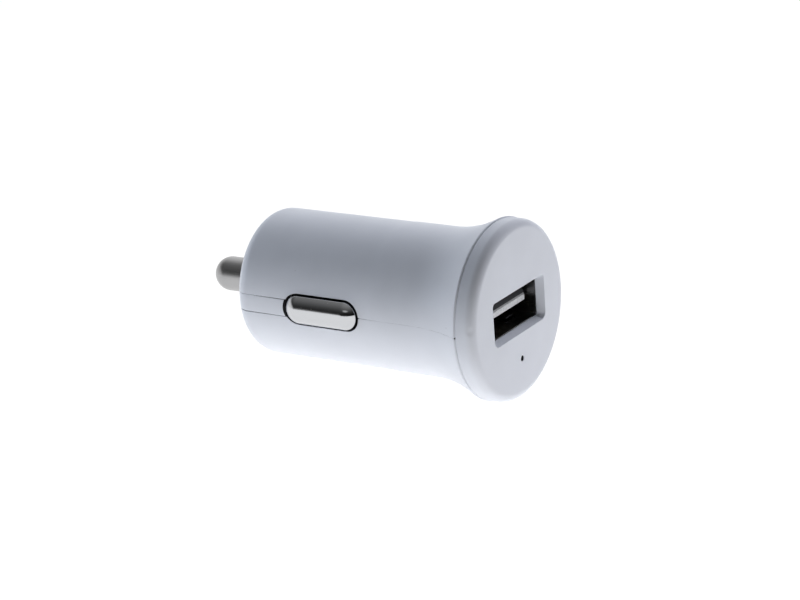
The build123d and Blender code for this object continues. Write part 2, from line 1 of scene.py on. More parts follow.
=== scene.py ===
"""Looks of the car charger plug: moulded white housing, nickel contacts and tip, port and studio.

Sizes are in millimetres and meshes in metres, in the frame of the solids: the barrel lies along Y with the
face towards -Y, the side contacts lie along X and +Z is up.
"""

import logging
import math
from abc import ABC, abstractmethod
from collections.abc import Callable, Iterable, Mapping, Sequence
from dataclasses import dataclass, field, replace
from enum import Enum
from itertools import pairwise
from typing import Any

import bmesh
import bpy
from mathutils import Matrix, Vector
from mathutils.geometry import tessellate_polygon


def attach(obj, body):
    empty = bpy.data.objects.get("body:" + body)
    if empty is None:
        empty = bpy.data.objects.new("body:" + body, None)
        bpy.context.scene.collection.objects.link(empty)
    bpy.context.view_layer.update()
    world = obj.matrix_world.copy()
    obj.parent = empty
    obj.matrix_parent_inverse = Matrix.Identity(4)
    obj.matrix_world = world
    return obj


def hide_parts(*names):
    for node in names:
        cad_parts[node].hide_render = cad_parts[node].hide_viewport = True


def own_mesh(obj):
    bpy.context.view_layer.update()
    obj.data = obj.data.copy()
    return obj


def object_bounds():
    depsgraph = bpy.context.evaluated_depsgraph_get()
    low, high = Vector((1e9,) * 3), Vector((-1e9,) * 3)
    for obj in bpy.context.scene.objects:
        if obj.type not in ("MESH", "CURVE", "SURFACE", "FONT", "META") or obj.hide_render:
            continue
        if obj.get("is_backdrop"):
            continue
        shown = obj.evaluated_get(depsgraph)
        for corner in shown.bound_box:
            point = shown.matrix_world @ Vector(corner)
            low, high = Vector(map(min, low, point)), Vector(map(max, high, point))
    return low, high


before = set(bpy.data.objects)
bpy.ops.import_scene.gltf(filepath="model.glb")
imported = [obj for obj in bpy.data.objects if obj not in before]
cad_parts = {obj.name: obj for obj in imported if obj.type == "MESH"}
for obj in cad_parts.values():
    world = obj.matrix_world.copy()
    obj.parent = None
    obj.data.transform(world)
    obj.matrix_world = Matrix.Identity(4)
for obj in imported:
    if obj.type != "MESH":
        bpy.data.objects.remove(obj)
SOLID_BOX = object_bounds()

logging.basicConfig(level=logging.INFO, format="%(message)s")
log = logging.getLogger("plug")

MM = 0.001
SHARP_ANGLE = math.radians(38)
WELD_DISTANCE = 1e-4
PLASTIC_IOR = 1.5
SPECK_CORE = 0.6

Point = tuple[float, float, float]
Colour = tuple[float, float, float]
Pair = tuple[float, float]
Loop = list[int]


class Body(Enum):
    """Moving bodies of the plug."""

    HOUSING = "housing"
    TIP = "tip"
    CONTACT_LEFT = "contact_left"
    CONTACT_RIGHT = "contact_right"


class Slot(Enum):
    """Material slots of the record that the new pieces belong to."""

    WHITE_PLASTIC = "white_plastic"
    NICKEL = "nickel"
    SPRING_STEEL = "spring_steel"


class Side(Enum):
    """The two sides of the barrel that carry a contact."""

    LEFT = -1
    RIGHT = 1


def spread(start: float, end: float, steps: int) -> list[float]:
    """Evenly spaced values from start to end, both included."""
    return [start + (end - start) * step / steps for step in range(steps + 1)]


def ease(share: float) -> float:
    """Smooth step from 0 to 1."""
    share = min(max(share, 0.0), 1.0)
    return share * share * (3 - 2 * share)


def grey(brightness: float) -> Colour:
    """Grey of a brightness."""
    return (brightness, brightness, brightness)


def full_turn(steps: int) -> list[float]:
    """Evenly spaced angles once round."""
    return [2 * math.pi * step / steps for step in range(steps)]


def around(radius: float, along: float, angle: float) -> Point:
    """Point at a distance from the barrel's axis, with the angle taken from +X towards +Z."""
    return (radius * math.cos(angle), along, radius * math.sin(angle))


def bearing(azimuth: float, elevation: float) -> Vector:
    """Way from the plug towards a lamp or the camera.

    Args:
        azimuth: Degrees from -Y towards +X.
        elevation: Degrees above level.

    Returns:
        The way, of length one.
    """
    turn = math.radians(azimuth)
    rise = math.radians(elevation)
    return Vector((math.sin(turn) * math.cos(rise), -math.cos(turn) * math.cos(rise), math.sin(rise)))


class Draft:
    """Points and faces of one piece while it is drawn, in millimetres."""

    def __init__(self) -> None:
        """Start with an empty drawing."""
        self.points: list[Point] = []
        self.faces: list[tuple[int, ...]] = []
        self.flat: set[int] = set()
        self.painted_shade: set[int] = set()

    def loop(self, points: Iterable[Point]) -> Loop:
        """Add points.

        Args:
            points: The points in order.

        Returns:
            Their numbers.
        """
        start = len(self.points)
        self.points.extend(points)
        return list(range(start, len(self.points)))

    def face(self, corners: Sequence[int], flat: bool = False, painted_shade: bool = False) -> None:
        """Add one face.

        Args:
            corners: Numbers of its corners.
            flat: Whether it is shaded flat.
            painted_shade: Whether it takes the dark finish that paints the shade in gaps.
        """
        if flat:
            self.flat.add(len(self.faces))
        if painted_shade:
            self.painted_shade.add(len(self.faces))
        self.faces.append(tuple(corners))

    def strip(self, first: Loop, second: Loop, closed: bool = True, painted_shade: Sequence[int] = ()) -> None:
        """Join two loops of as many points by four-sided faces.

        Args:
            first: One loop.
            second: The other loop.
            closed: Whether the last points are joined to the first ones.
            painted_shade: Numbers of the faces that take the dark finish that paints the shade in gaps.
        """
        count = len(first)
        for index in range(count if closed else count - 1):
            following = (index + 1) % count
            corners = (first[index], first[following], second[following], second[index])
            self.face(corners, painted_shade=index in painted_shade)

    def strips(self, rows: Sequence[Loop], closed: bool = True, painted_shade: Sequence[int] = ()) -> None:
        """Join each loop to the next one."""
        for first, second in pairwise(rows):
            self.strip(first, second, closed, painted_shade)

    def turned(self, profile: Sequence[Pair], steps: int) -> list[Loop]:
        """Turn a profile about the barrel's axis.

        Args:
            profile: Radius and place of its corners, in order.
            steps: Number of points of a ring.

        Returns:
            The ring of each corner.
        """
        angles = full_turn(steps)
        rings = [self.loop(around(out, along, angle) for angle in angles) for out, along in profile]
        self.strips(rings)
        return rings

    def fill(self, *loops: Loop) -> None:
        """Fill the flat region between an outer loop and the loops of its holes.

        Args:
            loops: The outer loop, then the holes.
        """
        numbers = [number for loop in loops for number in loop]
        outlines = [[Vector(self.points[number]) for number in loop] for loop in loops]
        for corners in tessellate_polygon(outlines):
            self.face([numbers[corner] for corner in corners], flat=True)

    def raised(self, height: float) -> "Draft":
        """Move the drawing up and hand it back."""
        self.points = [(x, y, z + height) for x, y, z in self.points]
        return self

    def mirrored(self, x: float = 1, z: float = 1) -> "Draft":
        """Copy the drawing with X or Z turned round.

        Args:
            x: Factor of X.
            z: Factor of Z.

        Returns:
            The copy.
        """
        copy = Draft()
        copy.points = [(x * point[0], point[1], z * point[2]) for point in self.points]
        copy.faces = list(self.faces)
        copy.flat = set(self.flat)
        copy.painted_shade = set(self.painted_shade)
        return copy

    def mesh(self, name: str) -> bpy.types.Mesh:
        """Weld the drawing into a mesh in metres with its faces turned outwards.

        Args:
            name: Name of the mesh.

        Returns:
            The mesh, smooth but for its sharp edges.
        """
        made = bpy.data.meshes.new(name)
        made.from_pydata([tuple(MM * value for value in point) for point in self.points], [], self.faces)
        for polygon in made.polygons:
            polygon.use_smooth = polygon.index not in self.flat
            # Faces of painted shade take the second material.
            polygon.material_index = int(polygon.index in self.painted_shade)
        work = bmesh.new()
        work.from_mesh(made)
        bmesh.ops.remove_doubles(work, verts=work.verts, dist=WELD_DISTANCE * MM)
        bmesh.ops.dissolve_degenerate(work, edges=work.edges, dist=WELD_DISTANCE * MM)
        bmesh.ops.recalc_face_normals(work, faces=work.faces)
        work.to_mesh(made)
        work.free()
        made.set_sharp_from_angle(angle=SHARP_ANGLE)
        return made


class Signal:
    """One output of a node, with arithmetic that adds Math nodes."""

    def __init__(self, recipe: "Recipe", socket: "bpy.types.NodeSocket | None") -> None:
        """Wrap an output socket of a recipe's tree."""
        self.recipe = recipe
        self.socket = socket

    def _math(self, operation: str, first: "Value", second: "Value") -> "Signal":
        """Add one Math node."""
        return self.recipe.add("ShaderNodeMath", {"operation": operation}, {0: first, 1: second})

    def __add__(self, other: "Value") -> "Signal":
        """Sum."""
        return self._math("ADD", self, other)

    __radd__ = __add__

    def __sub__(self, other: "Value") -> "Signal":
        """Difference."""
        return self._math("SUBTRACT", self, other)

    def __rsub__(self, other: "Value") -> "Signal":
        """Difference from a number."""
        return self._math("SUBTRACT", other, self)

    def __mul__(self, other: "Value") -> "Signal":
        """Product."""
        return self._math("MULTIPLY", self, other)

    __rmul__ = __mul__

    def __pow__(self, other: "Value") -> "Signal":
        """Power."""
        return self._math("POWER", self, other)

    def __rpow__(self, other: "Value") -> "Signal":
        """Power of a number."""
        return self._math("POWER", other, self)

    def __gt__(self, other: "Value") -> "Signal":
        """One where this is greater, zero elsewhere."""
        return self._math("GREATER_THAN", self, other)

    def __lt__(self, other: "Value") -> "Signal":
        """One where this is less, zero elsewhere."""
        return self._math("LESS_THAN", self, other)

    def at_least(self, other: "Value") -> "Signal":
        """The larger of the two."""
        return self._math("MAXIMUM", self, other)


Value = Signal | float
Shade = Signal | Colour


class Recipe:
    """Node tree of a material or of the world, filled step by step."""

    def __init__(self, tree: bpy.types.NodeTree) -> None:
        """Empty the tree."""
        self.tree = tree
        self.tree.nodes.clear()

    def add(
        self,
        kind: str,
        settings: Mapping[str, Any] | None = None,
        inputs: Mapping[str | int, Any] | None = None,
        output: str | int = 0,
    ) -> Signal:
        """Add one node.

        Args:
            kind: Type of the node.
            settings: Properties that are set first.
            inputs: Values or signals of its sockets, by name or number.
            output: Socket to hand back.

        Returns:
            The chosen output.
        """
        node = self.tree.nodes.new(kind)
        for name, value in (settings or {}).items():
            setattr(node, name, value)
        for name, value in (inputs or {}).items():
            socket = node.inputs[name]
            if isinstance(value, Signal):
                self.tree.links.new(value.socket, socket)
            else:
                socket.default_value = value
        return Signal(self, node.outputs[output] if node.outputs else None)

    def place(self) -> Signal:
        """Place on the piece, in metres of the shared frame."""
        return self.add("ShaderNodeTexCoord", output="Object")

    def stretched(self, place: Signal, scale: Point) -> Signal:
        """Place with its axes scaled."""
        return self.add("ShaderNodeVectorMath", {"operation": "MULTIPLY"}, {0: place, 1: scale})

    def noise(self, place: Signal, size: float, detail: float = 3.0) -> Signal:
        """Cloudy value about 0.5 with features of a size in millimetres."""
        inputs = {"Vector": place, "Scale": 1 / (size * MM), "Detail": detail}
        return self.add("ShaderNodeTexNoise", None, inputs)

    def specks(self, place: Signal, spacing: float, share: float) -> Signal:
        """Small round spots, one where a spot is and zero elsewhere.

        Args:
            place: Where the spots are looked up.
            spacing: Mean distance between cells, in millimetres.
            share: Radius of a spot as a share of the spacing.

        Returns:
            The mask of the spots.
        """
        inputs = {"Vector": place, "Scale": 1 / (spacing * MM)}
        distance = self.add("ShaderNodeTexVoronoi", None, inputs, "Distance")
        return self.band(distance, share, share * SPECK_CORE)

    def band(self, value: Signal, low: float, high: float) -> Signal:
        """Value mapped smoothly from 0 at low to 1 at high."""
        settings = {"interpolation_type": "SMOOTHSTEP"}
        return self.add("ShaderNodeMapRange", settings, {"Value": value, "From Min": low, "From Max": high})

    def axis(self, place: Signal, name: str) -> Signal:
        """One coordinate of a place."""
        return self.add("ShaderNodeSeparateXYZ", None, {0: place}, name)

    def away(self, place: Signal, middle: Sequence[float]) -> Signal:
        """Distance of a place from a point."""
        inputs = {0: place, 1: middle}
        return self.add("ShaderNodeVectorMath", {"operation": "DISTANCE"}, inputs, "Value")

    def mix(self, factor: Value, first: Shade, second: Shade) -> Signal:
        """Blend two colours.

        Args:
            factor: Share of the second colour.
            first: First colour, as numbers or a signal.
            second: Second colour, as numbers or a signal.

        Returns:
            The blend.
        """
        colours = [value if isinstance(value, Signal) else (*value, 1.0) for value in (first, second)]
        inputs = {"Factor": factor, 6: colours[0], 7: colours[1]}
        return self.add("ShaderNodeMix", {"data_type": "RGBA"}, inputs, 2)

    def bump(self, height: Signal, depth: float) -> Signal:
        """Surface normal from a height between 0 and 1 that stands for a depth in millimetres."""
        return self.add("ShaderNodeBump", None, {"Strength": 1.0, "Distance": depth * MM, "Height": height})

    def surface(self, inputs: Mapping[str | int, Any]) -> Signal:
        """Principled shader with the given sockets."""
        return self.add("ShaderNodeBsdfPrincipled", None, inputs)

    def finish(self, shader: Signal, kind: str = "ShaderNodeOutputMaterial") -> None:
        """Join the shader to the tree's output."""
        self.add(kind, None, {"Surface": shader})


@dataclass(frozen=True)
class Finish(ABC):
    """Finish of a surface, made into one material."""

    name: str
    colour: Colour
    roughness: float

    @abstractmethod
    def surface(self, recipe: Recipe) -> Signal:
        """Shader of the finish."""

    def material(self) -> bpy.types.Material:
        """Make the finish's material, or take it where it is made.

        Returns:
            The material.
        """
        made = bpy.data.materials.get(self.name)
        if made is None:
            made = bpy.data.materials.new(self.name)
            made.use_nodes = True
            recipe = Recipe(made.node_tree)
            recipe.finish(self.surface(recipe))
        return made


@dataclass(frozen=True)
class MouldedPlastic(Finish):
    """Injection moulded plastic with a fine sparked grain, cloudy gloss and a few specks of dust."""

    tone: float = 0.03
    grain: float = 0.22
    grain_depth: float = 0.004
    speck_colour: Colour = (0.3, 0.31, 0.33)
    speck_spacing: float = 5.5
    speck_share: float = 0.014
    gate: Point | None = None
    gate_radius: float = 0.75
    gate_depth: float = 0.05
    cloud_size: float = 6.0
    cloud_band: Pair = (0.3, 0.7)
    cloud_gloss: float = 0.12
    grain_gloss: float = 0.08

    def surface(self, recipe: Recipe) -> Signal:
        """Mix the shader of the moulded plastic.

        Args:
            recipe: Recipe that it is added to.

        Returns:
            The shader.
        """
        place = recipe.place()
        clouds = recipe.noise(place, self.cloud_size, detail=2.0)
        shade = tuple(value * (1 - self.tone) for value in self.colour)
        colour = recipe.mix(recipe.band(clouds, *self.cloud_band), self.colour, shade)
        dust = recipe.specks(place, self.speck_spacing, self.speck_share)
        colour = recipe.mix(dust, colour, self.speck_colour)
        grain = recipe.noise(place, self.grain, detail=2.0)
        roughness = self.roughness + (clouds - 0.5) * self.cloud_gloss + (grain - 0.5) * self.grain_gloss
        height = grain * self.grain_depth
        if self.gate is not None:
            height = height - self.dimple(recipe, place) * self.gate_depth
        return recipe.surface({
            "Base Color": colour,
            "Roughness": roughness,
            "IOR": PLASTIC_IOR,
            "Normal": recipe.bump(height, depth=1.0),
        })

    def dimple(self, recipe: Recipe, place: Signal) -> Signal:
        """Shallow sink mark over the gate.

        Args:
            recipe: Recipe that it is added to.
            place: Place on the piece.

        Returns:
            One in the mark's middle and zero outside it.
        """
        away = recipe.away(place, tuple(MM * value for value in self.gate))
        return recipe.band(away, self.gate_radius * MM, 0.0)


@dataclass(frozen=True)
class PlatedMetal(Finish):
    """Bright plating with drawn marks along the barrel, hazy patches and small pits."""

    dull: Colour = (0.42, 0.41, 0.4)
    mark: Point = (1.0, 0.06, 1.0)
    mark_size: float = 0.1
    mark_depth: float = 0.0012
    pit_spacing: float = 1.1
    pit_share: float = 0.05
    pit_sink: float = 0.6
    pit_gloss: float = 0.2
    haze_size: float = 1.6
    haze_gloss: float = 0.1
    scratch_band: Pair = (0.62, 0.72)
    scratch_gloss: float = 0.08

    def surface(self, recipe: Recipe) -> Signal:
        """Mix the shader of the plating.

        Args:
            recipe: Recipe that it is added to.

        Returns:
            The shader.
        """
        place = recipe.place()
        marks = recipe.noise(recipe.stretched(place, self.mark), self.mark_size, detail=4.0)
        haze = recipe.noise(place, self.haze_size)
        pits = recipe.specks(place, self.pit_spacing, self.pit_share)
        colour = recipe.mix(pits, self.colour, self.dull)
        scratch = recipe.band(marks, *self.scratch_band)
        roughness = self.roughness + (haze - 0.5) * self.haze_gloss + scratch * self.scratch_gloss
        roughness = roughness + pits * self.pit_gloss
        height = marks - pits * self.pit_sink
        return recipe.surface({
            "Base Color": colour,
            "Metallic": 1.0,
            "Roughness": roughness,
            "Normal": recipe.bump(height, self.mark_depth),
        })


@dataclass(frozen=True)
class RolledSteel(Finish):
    """Plated sheet or wire with rolling marks along one axis."""

    mark: Point = (1.0, 0.05, 1.0)
    mark_size: float = 0.15
    mark_depth: float = 0.002
    mark_gloss: float = 0.2
    patch_size: float = 2.5
    patch_band: Pair = (0.35, 0.7)
    patch_shade: float = 0.75

    def surface(self, recipe: Recipe) -> Signal:
        """Mix the shader of the sheet.

        Args:
            recipe: Recipe that it is added to.

        Returns:
            The shader.
        """
        place = recipe.place()
        marks = recipe.noise(recipe.stretched(place, self.mark), self.mark_size)
        patches = recipe.noise(place, self.patch_size, detail=2.0)
        shade = tuple(value * self.patch_shade for value in self.colour)
        return recipe.surface({
            "Base Color": recipe.mix(recipe.band(patches, *self.patch_band), self.colour, shade),
            "Metallic": 1.0,
            "Roughness": self.roughness + (marks - 0.5) * self.mark_gloss,
            "Normal": recipe.bump(marks, self.mark_depth),
        })


@dataclass(frozen=True)
class Grained(Finish):
    """Matt moulding, ceramic or ferrite with an even grain and a second tone in its grains."""

    second: Colour = (0.1, 0.1, 0.1)
    grain: float = 0.2
    grain_depth: float = 0.01
    grain_weight: float = 0.6
    grain_band: Pair = (0.4, 0.62)
    cloud_ratio: float = 10
    cloud_weight: float = 0.4
    cloud_gloss: float = 0.15

    def surface(self, recipe: Recipe) -> Signal:
        """Mix the shader of the grained surface.

        Args:
            recipe: Recipe that it is added to.

        Returns:
            The shader.
        """
        place = recipe.place()
        grain = recipe.noise(place, self.grain, detail=4.0)
        clouds = recipe.noise(place, self.cloud_ratio * self.grain, detail=2.0)
        mask = recipe.band(grain * self.grain_weight + clouds * self.cloud_weight, *self.grain_band)
        return recipe.surface({
            "Base Color": recipe.mix(mask, self.colour, self.second),
            "Roughness": self.roughness + (clouds - 0.5) * self.cloud_gloss,
            "Normal": recipe.bump(grain, self.grain_depth),
        })


@dataclass(frozen=True)
class PaintedLightMoulding(Finish):
    """Port insulator with painted light on its faces that look to the front, grained, and painted shade in
    its dark colour elsewhere.
    """

    painted_light: Colour = (0.86, 0.86, 0.87)
    painted_light_top: float = 0.72
    painted_light_edge: float = 0.04
    painted_light_lean: Pair = (-0.2, -0.4)
    lit_grain_shade: float = 0.82
    lit_grain_band: Pair = (0.45, 0.65)
    dull_shade: float = 0.8
    grain: float = 0.22
    grain_depth: float = 0.005
    cloud_ratio: float = 8
    cloud_gloss: float = 0.15

    def surface(self, recipe: Recipe) -> Signal:
        """Mix the shader of the insulator.

        Args:
            recipe: Recipe that it is added to.

        Returns:
            The shader.
        """
        place = recipe.place()
        grain = recipe.noise(place, self.grain)
        clouds = recipe.noise(place, self.cloud_ratio * self.grain, detail=2.0)
        # Painted light: faces that look to the front and lie below a height are made pale.
        normal = recipe.add("ShaderNodeNewGeometry", output="Normal")
        front = recipe.band(recipe.axis(normal, "Y"), *self.painted_light_lean)
        edge = (self.painted_light_top + self.painted_light_edge) * MM, (self.painted_light_top - self.painted_light_edge) * MM
        nose = front * recipe.band(recipe.axis(place, "Z"), *edge)
        lit_grain_tone = tuple(value * self.lit_grain_shade for value in self.painted_light)
        pale = recipe.mix(recipe.band(grain, *self.lit_grain_band), self.painted_light, lit_grain_tone)
        # The dark colour with a cloudy tone paints the shade on all other faces.
        dull = recipe.mix(clouds, self.colour, tuple(value * self.dull_shade for value in self.colour))
        return recipe.surface({
            "Base Color": recipe.mix(nose, dull, pale),
            "Roughness": self.roughness + (clouds - 0.5) * self.cloud_gloss,
            "Normal": recipe.bump(grain, self.grain_depth),
        })


@dataclass(frozen=True)
class SolderMask(Finish):
    """Lacquered board with the fibres of its weave showing through and copper fields under the lacquer."""

    copper: Colour = (0.08, 0.33, 0.14)
    field_size: float = 3.0
    field_stretch: Point = (1.0, 0.6, 0.1)
    field_edge: Pair = (0.5, 0.53)
    weave: float = 0.5
    weave_scale: float = 0.35
    weave_bend: float = 0.4
    weave_height: float = 0.25
    weave_gloss: float = 0.12
    lacquer: float = 0.4
    relief: float = 0.03

    def surface(self, recipe: Recipe) -> Signal:
        """Mix the shader of the board.

        Args:
            recipe: Recipe that it is added to.

        Returns:
            The shader.
        """
        place = recipe.place()
        fields = recipe.noise(recipe.stretched(place, self.field_stretch), self.field_size, detail=0.0)
        copper = recipe.band(fields, *self.field_edge)
        scale = self.weave_scale / (self.weave * MM)
        waves = [
            recipe.add(
                "ShaderNodeTexWave",
                {"bands_direction": direction},
                {"Vector": place, "Scale": scale, "Distortion": self.weave_bend},
                "Fac",
            )
            for direction in ("X", "Y")
        ]
        cloth = waves[0] * waves[1]
        height = copper + cloth * self.weave_height
        return recipe.surface({
            "Base Color": recipe.mix(copper, self.colour, self.copper),
            "Roughness": self.roughness + cloth * self.weave_gloss,
            "Coat Weight": self.lacquer,
            "Normal": recipe.bump(height, self.relief),
        })


@dataclass(frozen=True)
class SleevedCan(Finish):
    """Capacitor in a shrunk sleeve, with a bare metal top and a pale stripe down one side."""

    metal: Colour = (0.78, 0.78, 0.8)
    stripe: Colour = (0.6, 0.63, 0.7)
    stripe_facing: float = 0.85
    top: float = 3.6
    film_size: float = 0.8
    film_gloss: float = 0.2
    film_depth: float = 0.01

    def surface(self, recipe: Recipe) -> Signal:
        """Mix the shader of the can.

        Args:
            recipe: Recipe that it is added to.

        Returns:
            The shader.
        """
        place = recipe.place()
        bare = recipe.axis(place, "Z") > self.top * MM
        normal = recipe.add("ShaderNodeNewGeometry", output="Normal")
        facing = recipe.axis(normal, "Y") > self.stripe_facing
        sleeve = recipe.mix(facing, self.colour, self.stripe)
        film = recipe.noise(place, self.film_size)
        return recipe.surface({
            "Base Color": recipe.mix(bare, sleeve, self.metal),
            "Metallic": bare,
            "Roughness": self.roughness + (film - 0.5) * self.film_gloss,
            "Normal": recipe.bump(film, self.film_depth),
        })


@dataclass(frozen=True)
class ClearLamp(Finish):
    """Water-clear lamp body that light passes through into the dark behind it."""

    clear: float = 0.9
    cloud_size: float = 0.7
    cloud_shade: float = 0.8
    cloud_gloss: float = 0.1
    cloud_depth: float = 0.01

    def surface(self, recipe: Recipe) -> Signal:
        """Mix the shader of the lamp.

        Args:
            recipe: Recipe that it is added to.

        Returns:
            The shader.
        """
        place = recipe.place()
        clouds = recipe.noise(place, self.cloud_size, detail=2.0)
        shade = tuple(value * self.cloud_shade for value in self.colour)
        return recipe.surface({
            "Base Color": recipe.mix(clouds, self.colour, shade),
            "Roughness": self.roughness + (clouds - 0.5) * self.cloud_gloss,
            "IOR": PLASTIC_IOR,
            "Transmission Weight": self.clear,
            "Normal": recipe.bump(clouds, self.cloud_depth),
        })


PLASTIC = MouldedPlastic("white_moulding", (0.79, 0.815, 0.875), 0.36)
CAP_PLASTIC = replace(PLASTIC, name="cap_moulding", gate=(-12.03, -10.49, 1.09))
# Near-black finish that paints the shade on gap walls and insides; it is not a colour of the plastic.
GAP_PAINTED_SHADE = MouldedPlastic("gap_painted_shade", (0.035, 0.036, 0.04), 0.7)
NICKEL = PlatedMetal("nickel_plating", (0.6, 0.61, 0.63), 0.1)
TIP_NICKEL = PlatedMetal("tip_plating", (0.42, 0.42, 0.425), 0.3)
SPRING_STEEL = RolledSteel("spring_steel", (0.52, 0.52, 0.53), 0.3)
# The port's sheet is darker than plated steel is: painted shade for the inside of the port.
PORT_STEEL_PAINTED_SHADE = RolledSteel("port_sheet_painted_shade", (0.25, 0.25, 0.255), 0.3)
# The insulator's pale front is painted light and its dark colour elsewhere is painted shade.
PORT_PLASTIC = PaintedLightMoulding("port_moulding", (0.12, 0.12, 0.13), 0.5)
PIN_PLATING = RolledSteel("pin_plating", (0.85, 0.66, 0.3), 0.25)
BOARD = SolderMask("solder_mask", (0.03, 0.17, 0.07), 0.35)
BLACK_MOULDING = Grained("black_moulding", (0.02, 0.02, 0.022), 0.55, second=(0.035, 0.035, 0.038))
FERRITE = Grained(
    "ferrite", (0.05, 0.05, 0.055), 0.6, second=(0.09, 0.09, 0.095), grain=0.12, grain_depth=0.02
)
CAN_SLEEVE = SleevedCan("can_sleeve", (0.03, 0.035, 0.09), 0.35)
CERAMIC = Grained(
    "chip_ceramic", (0.09, 0.085, 0.08), 0.5, second=(0.16, 0.15, 0.14), grain=0.15, grain_depth=0.006
)
LAMP = ClearLamp("clear_lamp", (0.82, 0.86, 0.92), 0.2)


def show(
    draft: Draft,
    name: str,
    finish: Finish,
    body: Body,
    slot: Slot,
    replaced: str,
    painted_shade: Finish | None = None,
) -> bpy.types.Object:
    """Turn a drawing into a dressed piece that stands for a solid.

    Args:
        draft: The drawing.
        name: Name of the piece.
        finish: Finish of its surface.
        body: Body that it moves with.
        slot: Material slot of the record; not used.
        replaced: Solid that it stands for.
        painted_shade: Dark finish that paints the shade on its gap walls and inside, where it has any.

    Returns:
        The piece.
    """
    mesh = draft.mesh(name)
    mesh.materials.append(finish.material())
    if painted_shade is not None:
        mesh.materials.append(painted_shade.material())
    piece = bpy.data.objects.new(name, mesh)
    bpy.context.scene.collection.objects.link(piece)
    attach(piece, body.value)
    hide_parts(replaced)
    log.info("%s: %d faces on %s", name, len(mesh.polygons), body.value)
    return piece


@dataclass(frozen=True)
class Station:
    """One section of a half shell.

    The outside point is given by its distance from the axis, its place along the axis and the lean of its
    normal from square outwards towards the rear. The edge height is where the rounding of the side edge
    starts. The push is the way to the edge in units of the rounding, along the profile and down round the
    barrel. The inside point is given by its distance from the axis and its place along the axis.
    """

    radius: float
    along: float
    lean: float
    edge: float
    rounding: float
    push: Pair
    inner: Pair


